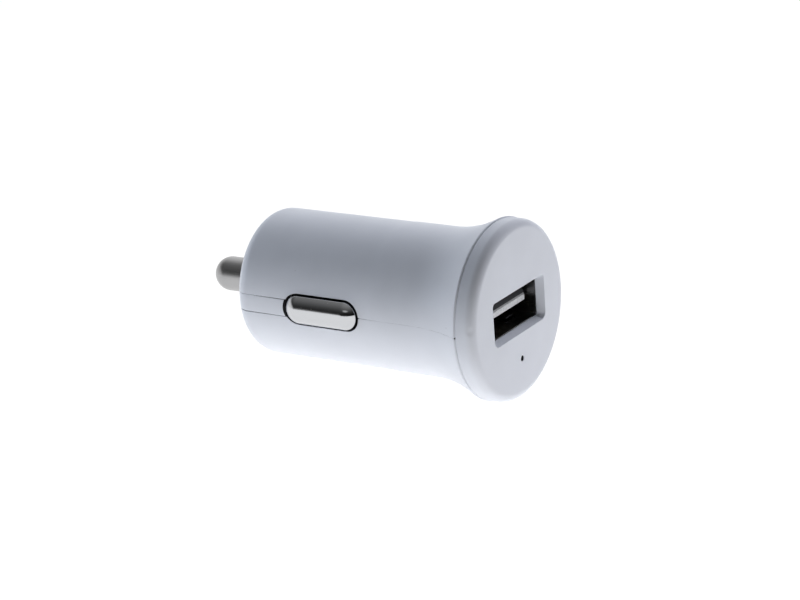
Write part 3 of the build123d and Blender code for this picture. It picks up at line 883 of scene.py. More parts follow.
@dataclass
class Housing:
    """Two half shells, the front cap and the rear insert, all moulded in white plastic."""

    barrel_radius: float = 10.3
    rear_radius: float = 10.25
    flange_radius: float = 12.6
    land_end: float = 6.0
    land_runout: float = 1.0
    seam: float = -8.35
    rear: float = 28.65
    rear_edge: float = 2.2
    bore_radius: float = 8.8
    mouth_radius: float = 9.7
    mouth_end: float = -5.35
    inside_end: float = 26.85
    half_gap: float = 0.018
    gap_waves: Pair = (1.9, 0.83)
    gap_shift: float = 1.0
    faintest: float = 0.35
    open_reach: float = 3.5
    hair_rounding: float = 0.04
    seam_rounding: float = 0.2
    slot_rounding: float = 0.06
    slot_notch: float = 0.05
    slot_notch_reach: float = 0.3
    slot_corner: float = 0.2
    slot_half: float = 2.25
    slot_front: float = 10.4
    slot_rear: float = 17.8
    corner_reach: float = 0.5
    notch_depth: float = 0.11
    tongue_half: float = 1.2
    tongue_gap: float = 0.06
    tongue_lift: float = 0.03
    tongue_droop: float = 0.04
    tongue_end_gap: float = 0.35
    boss_radius: float = 4.2
    tip_hole: float = 2.6
    guide_radius: float = 5.6
    guide_bore: float = 3.7
    guide_start: float = 18.65
    face: float = -11.0
    cap_step: float = 0.25
    cap_edge: float = 1.3
    face_margin: float = 0.15
    cap_back: float = -9.85
    reveal: float = 0.02
    cap_back_rounding: float = 0.05
    skirt_radius: float = 9.62
    skirt_inner: float = 8.52
    port_size: Pair = (12.74, 5.36)
    port_corner: float = 0.35
    port_corner_growth: float = 0.5
    port_draft: float = 20.0
    port_rounding: float = 0.07
    pinhole_radius: float = 0.4
    pinhole_drop: float = 6.7
    pinhole_rounding: float = 0.08
    lip_margin: float = 1.6
    columns: int = 132
    column_support: float = 0.0015
    column_start: float = 0.006
    turn_steps: int = 240
    edge_steps: int = 3
    seam_reach: float = 0.6
    seam_steps: int = 6
    flare_steps: int = 30
    land_steps: int = 6
    barrel_steps: int = 10
    slot_front_steps: int = 20
    slot_side_steps: int = 12
    slot_rear_steps: int = 16
    recess_near: float = 1.5
    recess_near_steps: int = 8
    recess_steps: int = 10
    rear_edge_steps: int = 14
    end_steps: int = 5
    boss_steps: int = 72
    tongue_steps: int = 8
    tongue_columns: int = 10
    cap_edge_steps: int = 18
    cap_rim_steps: int = 4
    cap_back_steps: int = 5
    port_corner_steps: int = 10
    lip_steps: int = 5
    wall_steps: int = 4
    pinhole_steps: int = 40

    def build(self) -> None:
        """Make and dress every moulded piece."""
        upper = self.shell()
        for name, draft in (("upper_shell", upper), ("lower_shell", upper.mirrored(z=-1))):
            self.dress(draft, name)
        self.dress(self.cap(), "front_cap", CAP_PLASTIC)
        self.dress(self.carrier(), "tip_carrier")

    def dress(self, draft: Draft, node: str, finish: Finish = PLASTIC) -> None:
        """Show one moulded piece in place of its solid, with painted shade on its gap walls and inside."""
        show(draft, f"{node}_moulding", finish, Body.HOUSING, Slot.WHITE_PLASTIC, node, GAP_PAINTED_SHADE)

    def flare(self, along: float) -> Pair:
        """Section of the flare, which swells with the square of the way from the shoulder.

        Args:
            along: Place along the axis.

        Returns:
            Its radius and lean.
        """
        swell = self.flange_radius - self.barrel_radius
        share = along / self.seam
        slope = 2 * swell * share / self.seam
        return self.barrel_radius + swell * share**2, math.atan(-slope)

    def outside(self, along: float) -> Pair:
        """Section of the outside ahead of the rear edge.

        Args:
            along: Place along the axis.

        Returns:
            Its radius and lean.
        """
        if along < 0:
            return self.flare(along)
        share = ease((along - self.land_end) / self.land_runout)
        return self.barrel_radius + (self.rear_radius - self.barrel_radius) * share, 0.0

    def bore(self, along: float) -> float:
        """Inside radius ahead of the end wall."""
        return self.mouth_radius if along < self.mouth_end else self.bore_radius

    def parting(self, along: float) -> Pair:
        """Parting line ahead of the slot, which all but closes on its way.

        Args:
            along: Place along the axis.

        Returns:
            Its half gap and rounding.
        """
        front = self.slot_front - self.slot_half
        near = ease(1 - (front - along) / self.corner_reach)
        ends = max(ease(1 - way / self.open_reach) for way in (front - along, along - self.seam))
        faint = self.faintest + (1 - self.faintest) * ends
        hair = self.hair_rounding * faint
        reach = max(self.notch_depth**2 - (along - self.seam) ** 2, 0.0)
        short, long = self.gap_waves
        wander = 0.5 + 0.5 * math.sin(short * along) * math.sin(long * along + self.gap_shift)
        gap = self.half_gap * faint * wander
        gap += self.slot_notch * ease(1 - (front - along) / self.slot_notch_reach)
        return max(gap, math.sqrt(reach)), hair + (self.slot_rounding - hair) * near

    def recess(self, along: float, corner: float) -> Pair:
        """Recess of the tongue behind the slot.

        Args:
            along: Place along the axis.
            corner: Place of the corner where the recess starts.

        Returns:
            Its half width and rounding.
        """
        near = ease(1 - (along - corner) / self.corner_reach)
        rounding = self.hair_rounding + (self.slot_rounding - self.hair_rounding) * near
        return self.tongue_half + self.tongue_gap, rounding

    def hair_station(self, along: float, radius: float, lean: float, edge: Pair, inner: Pair) -> Station:
        """Station whose side edge is a straight fine gap."""
        gap, rounding = edge
        return Station(radius, along, lean, gap + rounding, rounding, (0.0, 1.0), inner)

    def front_stations(self) -> list[Station]:
        """Stations of the seam face, its rounded edge, the flare and the barrel ahead of the slot.

        Returns:
            The stations from the front to the rear.
        """
        rounding = self.seam_rounding
        lean = self.flare(self.seam)[1]
        start = self.seam + rounding * (1 + math.sin(lean))
        radius, lean = self.flare(start)
        centre = (radius - rounding * math.cos(lean), self.seam + rounding)
        edge = self.parting(self.seam)
        middle = (self.mouth_radius + self.flange_radius) / 2
        stations = [
            self.hair_station(self.seam, middle, -math.pi / 2, edge, (middle - rounding, self.seam)),
            self.hair_station(self.seam, centre[0], -math.pi / 2, edge, (self.mouth_radius, self.seam)),
        ]
        for turn in spread(-math.pi / 2, lean, self.seam_steps)[1:-1]:
            out = centre[0] + rounding * math.cos(turn)
            along = centre[1] + rounding * math.sin(turn)
            inner = (self.mouth_radius, along)
            stations.append(self.hair_station(along, out, turn, self.parting(along), inner))
        slot = self.slot_front - self.slot_half - self.slot_rounding
        near = self.seam + self.seam_reach
        runout = self.land_end + self.land_runout
        runs = spread(start, near, self.seam_steps)[:-1] + spread(near, 0, self.flare_steps)
        runs += spread(0, self.land_end, self.land_steps)[1:]
        runs += spread(self.land_end, runout, self.land_steps)[1:]
        runs += spread(runout, slot, self.barrel_steps)[1:-1]
        for along in runs:
            radius, lean = self.outside(along)
            stations.append(
                self.hair_station(along, radius, lean, self.parting(along), (self.bore(along), along))
            )
        return stations

    def slot_stations(self) -> list[Station]:
        """Stations round the upper half of the contact slot.

        Returns:
            The stations from the parting line to the tongue's recess.
        """
        rounding = self.slot_rounding
        reach = self.slot_half + rounding
        gap = self.parting(self.slot_front - self.slot_half)[0] + rounding
        recess = self.tongue_half + self.tongue_gap + rounding
        radius = self.rear_radius
        inner = (self.bore_radius, 0.0)
        first = math.asin(gap / reach)
        last = math.asin(recess / (reach + self.slot_corner))
        stations = []
        for turn in spread(first, math.pi / 2, self.slot_front_steps):
            push = (math.cos(turn), math.sin(turn))
            if turn == first:
                push = self.mitre(push, (0.0, 1.0))
            along = self.slot_front - reach * math.cos(turn)
            stations.append(Station(radius, along, 0.0, reach * math.sin(turn), rounding, push, inner))
        for along in spread(self.slot_front, self.slot_rear, self.slot_side_steps)[1:]:
            stations.append(Station(radius, along, 0.0, reach, rounding, (0.0, 1.0), inner))
        for turn in spread(math.pi / 2, last, self.slot_rear_steps)[1:]:
            push = (-math.cos(turn), math.sin(turn))
            if turn == last:
                push = self.mitre(push, (0.0, 1.0))
            wide = reach + self.slot_corner * ease((math.pi / 2 - turn) / (math.pi / 2 - last))
            along = self.slot_rear + wide * math.cos(turn)
            stations.append(Station(radius, along, 0.0, wide * math.sin(turn), rounding, push, inner))
        return stations

    @staticmethod
    def mitre(first: Pair, second: Pair) -> Pair:
        """Push to the corner where two edges meet."""
        scale = 1 + first[0] * second[0] + first[1] * second[1]
        return ((first[0] + second[0]) / scale, (first[1] + second[1]) / scale)

    def rear_profile(self) -> list[tuple[float, float, float, Pair]]:
        """Profile of the rounded rear edge, from the barrel to the end face.

        Returns:
            The radius, place, lean and inside point of each of its points.
        """
        edge = self.rear_edge
        centre = (self.rear_radius - edge, self.rear - edge)
        profile = []
        for turn in spread(0, math.pi / 2, self.rear_edge_steps):
            out = centre[0] + edge * math.cos(turn)
            along = centre[1] + edge * math.sin(turn)
            inner = (min(self.bore_radius, out - self.slot_rounding), min(along, self.inside_end))
            profile.append((out, along, turn, inner))
        return profile

    def rear_stations(self) -> list[Station]:
        """Stations along the tongue's recess, round the rear edge and over the end face to the boss.

        Returns:
            The stations from the slot to the boss.
        """
        reach = self.slot_half + self.slot_rounding + self.slot_corner
        width = self.tongue_half + self.tongue_gap + self.slot_rounding
        corner = self.slot_rear + math.sqrt(reach**2 - width**2)
        start = self.rear - self.rear_edge
        near = corner + self.recess_near * self.corner_reach
        stations = []
        runs = spread(corner, near, self.recess_near_steps)[1:]
        runs += spread(near, start, self.recess_steps)[1:-1]
        for along in runs:
            edge = self.recess(along, corner)
            inner = (self.bore_radius, along)
            stations.append(self.hair_station(along, self.rear_radius, 0.0, edge, inner))
        edge = self.recess(self.rear, corner)
        for out, along, lean, inner in self.rear_profile():
            stations.append(self.hair_station(along, out, lean, edge, inner))
        rounding = self.hair_rounding
        hole = self.boss_radius + self.tongue_gap
        for out in spread(self.rear_radius - self.rear_edge, hole + rounding, self.end_steps)[1:]:
            inside = (out - rounding, self.inside_end)
            stations.append(self.hair_station(self.rear, out, math.pi / 2, edge, inside))
        for turn in spread(math.pi / 2, math.pi, self.edge_steps)[1:]:
            out = hole + rounding + rounding * math.cos(turn)
            along = self.rear - rounding + rounding * math.sin(turn)
            stations.append(self.hair_station(along, out, turn, edge, (hole, self.inside_end)))
        return stations

    def shares(self) -> list[float]:
        """Places of the columns across a half shell, closer together at both edges."""
        inner = spread(self.column_start, 1 - self.column_start, self.columns - 4)
        return [0.0, self.column_support, *inner, 1 - self.column_support, 1.0]

    def section(self, station: Station) -> tuple[list[Point], list[Point], list[Point], list[Point]]:
        """Points of one section of the upper shell.

        Args:
            station: The section's station.

        Returns:
            The outside from +X to -X, the left edge, the inside from +X to -X and the right edge.
        """
        start = math.asin(station.edge / station.radius)
        outside = [
            around(station.radius, station.along, start + (math.pi - 2 * start) * share)
            for share in self.shares()
        ]
        edges = []
        for angle, down in ((math.pi - start, 1), (start, -1)):
            edges.append([
                self.edge_point(station, angle, down, turn)
                for turn in spread(0, math.pi / 2, self.edge_steps)[1:]
            ])
        foot = edges[1][-1]
        radius, along = station.inner
        # Round the slot the inside follows the foot of the slot's wall.
        if station.push[0] or along == 0.0:
            along = foot[1]
        begin = math.asin(foot[2] / radius)
        inside = [around(radius, along, begin + (math.pi - 2 * begin) * share) for share in self.shares()]
        return outside, edges[0], inside, edges[1]

    @staticmethod
    def edge_point(station: Station, angle: float, down: int, turn: float) -> Point:
        """Point of the rounding between the outside and the wall of the side edge.

        Args:
            station: The section's station.
            angle: Angle about the axis where the rounding starts.
            down: Whether the angle grows or falls on the way down to the edge.
            turn: Angle of the rounding, from 0 on the outside to a right angle on the wall.

        Returns:
            The point.
        """
        square = Vector((math.cos(angle), 0, math.sin(angle)))
        rearward = Vector((0, 1, 0))
        normal = square * math.cos(station.lean) + rearward * math.sin(station.lean)
        profile = rearward * math.cos(station.lean) - square * math.sin(station.lean)
        downward = Vector((-math.sin(angle), 0, math.cos(angle))) * down
        push = profile * station.push[0] + downward * station.push[1]
        start = Vector(around(station.radius, station.along, angle))
        sink = normal * (math.cos(turn) - 1)
        return tuple(start + (sink + push * math.sin(turn)) * station.rounding)

    def shell(self) -> Draft:
        """Draw the upper half shell, lofted through its stations from the seam to the boss.

        Returns:
            The drawing.
        """
        draft = Draft()
        rows = []
        for station in self.front_stations() + self.slot_stations() + self.rear_stations():
            outside, left, inside, right = self.section(station)
            rows.append(draft.loop([*outside, *left, *reversed(inside), *reversed(right)]))
        count = len(self.shares())
        # The side walls below their rounding and the whole inside take the dark finish of painted shade.
        draft.strips(rows, painted_shade=range(count + self.edge_steps - 1, 2 * count + self.edge_steps))
        for row in (rows[0], rows[-1]):
            outside = row[:count]
            inside = list(reversed(row[count + self.edge_steps:2 * count + self.edge_steps]))
            left = row[count:count + self.edge_steps]
            right = row[2 * count + self.edge_steps:]
            draft.strip(outside, inside, closed=False)
            draft.face([outside[-1], *left, inside[-1]])
            draft.face([outside[0], inside[0], *right])
        return draft

    def port_mouth(self) -> float:
        """Growth of the port from the cap's back to its face."""
        return (self.cap_back - self.face) * math.tan(math.radians(self.port_draft))

    def port_loop(self, draft: Draft, along: float, grow: float) -> Loop:
        """Rounded rectangle of the port's mouth, with softer corners at the bottom.

        Args:
            draft: Drawing that it is added to.
            along: Place along the axis.
            grow: Growth on every side.

        Returns:
            Its loop.
        """
        half_width = self.port_size[0] / 2 + grow
        half_height = self.port_size[1] / 2 + grow
        softer = self.port_corner_growth * min(grow, self.port_mouth())
        points = []
        for quarter, (x, z) in enumerate(((1, 1), (-1, 1), (-1, -1), (1, -1))):
            corner = self.port_corner + grow - z * softer
            ends = (quarter * math.pi / 2, (quarter + 1) * math.pi / 2)
            for turn in spread(*ends, self.port_corner_steps):
                across = x * (half_width - corner) + corner * math.cos(turn)
                up = z * (half_height - corner) + corner * math.sin(turn)
                points.append((across, along, up))
        return draft.loop(points)

    def pin_loop(self, draft: Draft, along: float, radius: float) -> Loop:
        """Circle of the pinhole."""
        circle = (around(radius, along, angle) for angle in full_turn(self.pinhole_steps))
        return draft.loop((x, y, z - self.pinhole_drop) for x, y, z in circle)

    def cap(self) -> Draft:
        """Draw the front cap: rounded disc with the port's mouth, the pinhole and the skirt.

        Returns:
            The drawing.
        """
        draft = Draft()
        edge = self.cap_edge
        rim = self.flange_radius - self.cap_step
        back = self.seam - self.reveal
        small = self.cap_back_rounding
        outer = [(rim - edge - self.face_margin, self.face)]
        for turn in spread(-math.pi / 2, 0, self.cap_edge_steps):
            outer.append((rim - edge + edge * math.cos(turn), self.face + edge + edge * math.sin(turn)))
        outer += [(rim, along) for along in spread(self.face + edge, back - small, self.cap_rim_steps)[1:]]
        for turn in spread(0, math.pi / 2, self.cap_back_steps)[1:]:
            outer.append((rim - small + small * math.cos(turn), back - small + small * math.sin(turn)))
        outer += [(self.skirt_radius, back), (self.skirt_radius, self.mouth_end)]
        outer += [(self.skirt_inner, self.mouth_end), (self.skirt_inner, self.cap_back)]
        rings = draft.turned(outer, self.turn_steps)
        port_rows = self.lipped(
            lambda along, grow: self.port_loop(draft, along, grow),
            self.port_mouth(),
            self.port_rounding,
        )
        pin_rows = self.lipped(
            lambda along, grow: self.pin_loop(draft, along, self.pinhole_radius + grow),
            0.0,
            self.pinhole_rounding,
        )
        draft.strips(port_rows)
        draft.strips(pin_rows[:self.lip_steps + 2])
        # The pinhole's wall behind its lip takes the dark finish of painted shade.
        draft.strips(pin_rows[self.lip_steps + 1:], painted_shade=range(self.pinhole_steps))
        draft.fill(rings[0], port_rows[0], pin_rows[0])
        draft.fill(rings[-1], port_rows[-1], pin_rows[-1])
        return draft

    def lipped(self, ring: Callable[[float, float], Loop], mouth: float, rounding: float) -> list[Loop]:
        """Rows of an opening through the cap, with a rounded lip at the face.

        Args:
            ring: Makes one row from its place and growth.
            mouth: Growth at the face, from none at the cap's back.
            rounding: Radius of the lip.

        Returns:
            The rows from the face to the back.
        """
        rows = [ring(self.face, mouth + self.lip_margin * rounding)]
        for turn in spread(math.pi / 2, 0, self.lip_steps):
            along = self.face + rounding * (1 - math.sin(turn))
            rows.append(ring(along, mouth + rounding * (1 - math.cos(turn))))
        depth = self.cap_back - self.face
        for share in spread(rounding / depth, 1, self.wall_steps)[1:]:
            rows.append(ring(self.face + depth * share, mouth - mouth * share))
        return rows

    def carrier(self) -> Draft:
        """Draw the rear insert: side tongues, a band over the end, the boss and the guide tube.

        Returns:
            The drawing.
        """
        draft = Draft()
        for side in Side:
            self.tongue(draft, side.value)
        self.boss(draft)
        guide = [
            (self.guide_bore, self.guide_start),
            (self.guide_radius, self.guide_start),
            (self.guide_radius, self.inside_end),
            (self.guide_bore, self.inside_end),
            (self.guide_bore, self.guide_start),
        ]
        draft.turned(guide, self.turn_steps)
        return draft.raised(self.tongue_lift)

    def band_join(self) -> float:
        """Distance from the axis where the tongues' bands run into the boss plate."""
        return self.guide_radius

    def tongue(self, draft: Draft, side: int) -> None:
        """Draw one tongue with its band over the rear edge, as far as the boss plate.

        Args:
            draft: Drawing that it is added to.
            side: -1 on the left and 1 on the right.
        """
        rounding = self.hair_rounding
        half = self.tongue_half
        reach = self.slot_half + self.tongue_end_gap
        heights = spread(-half + rounding, half - rounding, self.tongue_columns)
        start = self.slot_rear + reach
        end = self.rear - self.rear_edge
        rows = []
        profile = [
            (self.rear_radius, along, 0.0, (self.bore_radius, along))
            for along in spread(start, end, self.tongue_steps)[:-1]
        ]
        profile += self.rear_profile()
        plate = (self.band_join(), self.rear, math.pi / 2, (self.band_join(), self.inside_end))
        profile.append(plate)
        for number, (out, along, lean, inner) in enumerate(profile):
            at_plate = profile[number] is plate
            outside = []
            for height in heights:
                place = along
                if number == 0:
                    place = self.slot_rear + math.sqrt(reach**2 - height**2)
                across = out if at_plate else math.sqrt(out**2 - height**2)
                outside.append((across, place, height))
            walls = []
            for height in (half, -half):
                tilt = math.copysign(1.0, height)
                across = out if at_plate else math.sqrt(out**2 - (half - rounding) ** 2)
                place = outside[-1 if tilt > 0 else 0][1]
                wall = []
                for turn in spread(0, math.pi / 2, self.edge_steps)[1:]:
                    sink = rounding * (math.cos(turn) - 1)
                    wall.append((
                        across + sink * math.cos(lean),
                        place + sink * math.sin(lean),
                        tilt * (half - rounding + rounding * math.sin(turn)),
                    ))
                inside = inner[0] if at_plate else math.sqrt(inner[0] ** 2 - half**2)
                wall.append((inside, min(place, inner[1]) if lean else place, tilt * half))
                walls.append(wall)
            ring = [*outside, *walls[0], *reversed(walls[1])]
            droop = self.tongue_droop * max(end - along, 0) / (end - start)
            rows.append(draft.loop([(side * x, y, z - droop) for x, y, z in ring]))
        # The upper wall, the inside and the lower wall take the dark finish of painted shade, and so does
        # the front end below.
        wall = len(heights) + self.edge_steps - 1
        draft.strips(rows, painted_shade=range(wall, wall + 3))
        draft.face(rows[0], flat=True, painted_shade=True)

    def boss(self, draft: Draft) -> None:
        """Draw the plate in the end wall that joins the bands to the boss, with the hole for the tip.

        Args:
            draft: Drawing that it is added to.
        """
        rounding = self.hair_rounding
        join = self.band_join()
        half = self.tongue_half
        edge_rows: dict[int, list[Loop]] = {1: [], -1: []}
        levels = [(0.0, 0.0)]
        for turn in spread(0, math.pi / 2, self.edge_steps)[1:]:
            levels.append((rounding * math.sin(turn), rounding * (1 - math.cos(turn))))
        levels.append((rounding, self.rear - self.inside_end))
        for tilt in (1, -1):
            for grow, sink in levels:
                radius = self.boss_radius - rounding + grow
                height = half - rounding + grow
                begin = math.asin(height / radius)
                points = [(join, self.rear - sink, tilt * height)]
                for angle in spread(begin, math.pi - begin, self.boss_steps):
                    x, y, z = around(radius, self.rear - sink, angle)
                    points.append((x, y, tilt * z))
                points.append((-join, self.rear - sink, tilt * height))
                edge_rows[tilt].append(draft.loop(points))
            draft.strips(edge_rows[tilt], closed=False)
        hole = [
            (self.tip_hole + rounding * (1 - math.cos(turn)), self.rear - rounding * (1 - math.sin(turn)))
            for turn in spread(math.pi / 2, 0, self.edge_steps)
        ]
        rings = draft.turned([*hole, (self.tip_hole, self.inside_end)], self.turn_steps)
        for level, ring in ((0, rings[0]), (-1, rings[-1])):
            top = edge_rows[1][level]
            bottom = edge_rows[-1][level]
            joins = self.join_points(draft, top, level)
            draft.fill([*top, *joins[-1], *reversed(bottom), *joins[1]], ring)

    def join_points(self, draft: Draft, top: Loop, level: int) -> dict[int, Loop]:
        """Points across the bands where they meet the boss plate.

        Args:
            draft: Drawing that they are added to.
            top: Upper edge of the plate at this level.
            level: 0 for the outside, where the bands have points, and -1 for the inside.

        Returns:
            The points of each side, listed on the way round the plate.
        """
        joins: dict[int, Loop] = {}
        along = draft.points[top[0]][1]
        heights = []
        if level == 0:
            half = self.tongue_half - self.hair_rounding
            heights = spread(-half, half, self.tongue_columns)[1:-1]
        joins[1] = draft.loop((self.band_join(), along, height) for height in heights)
        joins[-1] = draft.loop((-self.band_join(), along, height) for height in reversed(heights))
        return joins


@dataclass
class SideContact:
    """One sprung pill contact with its leaf spring."""

    side: Side
    centre: float = 14.1
    half_length: float = 5.67
    half_width: float = 1.97
    crest_radius: float = 2.4
    crest: float = 11.4
    back: float = 7.887
    rim_top: float = 8.287
    rim: float = 0.63
    edge_rounding: float = 0.16
    ring_steps: int = 160
    dome_steps: int = 18
    shoulder_steps: int = 5
    wall_steps: int = 6
    leaf_sheet: float = 0.3
    leaf_bend: float = 3
    leaf_bend_steps: int = 6
    leaf_bow_steps: int = 20
    leaf_half: float = 2.0
    leaf_centre: float = 14.15
    leaf_riser: float = 5.787
    leaf_nose: float = 7.857
    leaf_foot: float = 1.8
    leaf_base: float = -2.86
    press: float = 1.25
    lift: float = 0.05

    def build(self) -> None:
        """Make and dress the contact and its spring."""
        name = self.side.name.lower()
        body = Body.CONTACT_LEFT if self.side is Side.LEFT else Body.CONTACT_RIGHT
        pill = self.pill().mirrored(x=self.side.value)
        show(pill, f"{name}_contact_pill", NICKEL, body, Slot.NICKEL, f"{name}_contact")
        leaf = show(
            self.leaf().mirrored(x=self.side.value), f"{name}_contact_leaf", SPRING_STEEL,
            Body.HOUSING, Slot.SPRING_STEEL, f"{name}_contact_spring",
        )
        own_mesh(leaf)

    def ring(self, draft: Draft, half_width: float, height: float) -> Loop:
        """Pill-shaped ring.

        Args:
            draft: Drawing that it is added to.
            half_width: Half of its width.
            height: Distance from the barrel's axis.

        Returns:
            Its loop.
        """
        run = self.half_length - self.half_width
        quarter = self.ring_steps // 4
        points = []
        for end, start in ((1, 0.0), (-1, math.pi)):
            for turn in spread(start, start + math.pi, 2 * quarter):
                along = self.centre + end * run + half_width * math.sin(turn)
                points.append((height, along, half_width * math.cos(turn)))
        return draft.loop(points)

    def dome(self, half_width: float) -> float:
        """Distance of the crest's surface from the barrel's axis at a distance from its middle line."""
        return self.crest - self.crest_radius + math.sqrt(self.crest_radius**2 - half_width**2)

    def pill(self) -> Draft:
        """Draw the domed pill with a rounded shoulder and the rim that holds it behind the slot.

        Returns:
            The drawing.
        """
        draft = Draft()
        rounding = self.edge_rounding
        lean = math.asin((self.half_width - rounding) / (self.crest_radius - rounding))
        start = self.crest_radius * math.sin(lean)
        rows = [self.ring(draft, width, self.dome(width)) for width in spread(0, start, self.dome_steps)]
        base = self.crest - self.crest_radius + (self.crest_radius - rounding) * math.cos(lean)
        for turn in spread(lean, math.pi / 2, self.shoulder_steps)[1:]:
            width = self.half_width - rounding + rounding * math.sin(turn)
            rows.append(self.ring(draft, width, base + rounding * math.cos(turn)))
        for height in spread(base, self.rim_top, self.wall_steps)[1:]:
            rows.append(self.ring(draft, self.half_width, height))
        rows.append(self.ring(draft, self.half_width + self.rim, self.rim_top))
        rows.append(self.ring(draft, self.half_width + self.rim, self.back))
        draft.strips(rows)
        draft.fill(rows[-1])
        return draft.raised(self.lift)

    def leaf(self) -> Draft:
        """Draw the leaf spring: foot on the board, riser and a bowed arm that presses behind the contact.

        Returns:
            The drawing.
        """
        sheet = self.leaf_sheet
        top = self.half_width - sheet
        bow = self.leaf_nose - self.leaf_riser - sheet
        middle = [(self.leaf_riser - self.leaf_foot, self.leaf_base + sheet / 2)]
        bend = self.leaf_bend * sheet
        for turn in spread(-math.pi / 2, 0, self.leaf_bend_steps):
            middle.append((
                self.leaf_riser + sheet / 2 - bend + bend * math.cos(turn),
                self.leaf_base + sheet / 2 + bend + bend * math.sin(turn),
            ))
        for share in spread(0, 1, self.leaf_bow_steps):
            middle.append((
                self.leaf_riser + sheet / 2 + bow * math.sin(math.pi * share),
                -top / 2 + (top + top / 2) * share,
            ))
        draft = Draft()
        rows = []
        for index, (across, up) in enumerate(middle):
            before = middle[max(index - 1, 0)]
            after = middle[min(index + 1, len(middle) - 1)]
            along = Vector((after[0] - before[0], after[1] - before[1])).normalized()
            offset = Vector((-along.y, along.x)) * (sheet / 2)
            corners = []
            for face, edge in ((1, -1), (1, 1), (-1, 1), (-1, -1)):
                corners.append((
                    across + face * offset.x,
                    self.leaf_centre + edge * self.leaf_half,
                    up + face * offset.y,
                ))
            rows.append(draft.loop(corners))
        draft.strips(rows)
        draft.face(rows[0])
        draft.face(rows[-1])
        return draft


@dataclass
class CentreTip:
    """Turned nickel tip with its compression spring."""

    radius: float = 2.45
    nose: float = 38.6
    collar_radius: float = 3.5
    collar_start: float = 23.95
    collar_end: float = 25.15
    tail_radius: float = 1.7
    tail_start: float = 21.75
    edge: float = 0.12
    turn_steps: int = 128
    nose_steps: int = 28
    shank_steps: int = 10
    spring_radius: float = 2.45
    spring_wire: float = 0.25
    spring_turns: int = 5
    spring_start: float = 16.15
    spring_flat: float = 0.12
    coil_steps: int = 40
    wire_steps: int = 10
    travel: float = 4.0
    sag: float = 0.1

    def build(self) -> None:
        """Make and dress the tip and its spring."""
        show(self.tip(), "centre_tip_turned", TIP_NICKEL, Body.TIP, Slot.NICKEL, "centre_tip")
        coil = show(
            self.coil(), "tip_spring_coil", SPRING_STEEL, Body.HOUSING, Slot.SPRING_STEEL, "tip_spring"
        )
        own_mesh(coil)

    def tip(self) -> Draft:
        """Draw the round nose, shank, collar and tail, lying low in the guide's clearance.

        Returns:
            The drawing.
        """
        draft = Draft()
        edge = self.edge
        profile = [
            (self.radius * math.sin(turn), self.nose - self.radius + self.radius * math.cos(turn))
            for turn in spread(0, math.pi / 2, self.nose_steps)
        ]
        shank = spread(self.nose - self.radius, self.collar_end, self.shank_steps)
        profile += [(self.radius, along) for along in shank[1:]]
        profile += [
            (self.collar_radius - edge, self.collar_end),
            (self.collar_radius, self.collar_end - edge),
            (self.collar_radius, self.collar_start + edge),
            (self.collar_radius - edge, self.collar_start),
            (self.tail_radius, self.collar_start),
            (self.tail_radius, self.tail_start + edge),
            (self.tail_radius - edge, self.tail_start),
            (0.0, self.tail_start),
        ]
        draft.turned(profile, self.turn_steps)
        return draft.raised(-self.sag)

    def coil(self) -> Draft:
        """Draw the compression spring of round wire, whose end turns lie flat.

        Returns:
            The drawing.
        """
        draft = Draft()
        wire = self.spring_wire
        low = self.spring_start + wire
        high = self.collar_start - wire
        steps = self.coil_steps * self.spring_turns
        rows = []
        for step in range(steps + 1):
            turn = 2 * math.pi * step / self.coil_steps
            share = step / steps
            along = low + (high - low) * (self.spring_flat * share + (1 - self.spring_flat) * ease(share))
            rows.append(draft.loop(
                around(self.spring_radius + wire * math.cos(angle), along + wire * math.sin(angle), turn)
                for angle in full_turn(self.wire_steps)
            ))
        draft.strips(rows)
        draft.face(rows[0])
        draft.face(rows[-1])
        return draft


@dataclass
class Fittings:
    """Pieces whose solids have their true form and only need their finish."""

    finishes: dict[str, Finish] = field(default_factory=lambda: {
        "tip_terminal": SPRING_STEEL,
        "usb_shell": PORT_STEEL_PAINTED_SHADE,
        "usb_insulator": PORT_PLASTIC,
        "circuit_board": BOARD,
        "converter_chip": BLACK_MOULDING,
        "rectifier_diode": BLACK_MOULDING,
        "power_inductor": FERRITE,
        "input_capacitor": CAN_SLEEVE,
        "output_capacitor": CAN_SLEEVE,
        "timing_capacitor": CERAMIC,
        "indicator_led": LAMP,
    })
    pins: int = 4
    resistors: int = 4

    def dress(self) -> None:
        """Give each solid the material of its finish."""
        finishes = dict(self.finishes)
        finishes.update({f"usb_pin_{number}": PIN_PLATING for number in range(1, self.pins + 1)})
        finishes.update({f"chip_resistor_{number}": CERAMIC for number in range(1, self.resistors + 1)})
        for node, finish in finishes.items():
            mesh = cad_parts[node].data
            mesh.materials.clear()
            mesh.materials.append(finish.material())
            log.info("%s: %s", node, finish.name)


@dataclass
class Lamp:
    """Soft lamp that looks at the plug and that its gloss does not show."""

    name: str
    azimuth: float
    elevation: float
    power: float
    size: float
    colour: Colour
    distance: float = 420.0

    def build(self) -> None:
        """Place the lamp."""
        data = bpy.data.lights.new(self.name, "AREA")
        data.shape = "DISK"
        data.size = self.size * MM
        data.energy = self.power
        data.color = self.colour
        lamp = bpy.data.objects.new(self.name, data)
        way = bearing(self.azimuth, self.elevation)
        lamp.location = way * self.distance * MM
        lamp.rotation_euler = way.to_track_quat("Z", "Y").to_euler()
        lamp.visible_glossy = False
        bpy.context.scene.collection.objects.link(lamp)
        log.info("lamp %s", self.name)


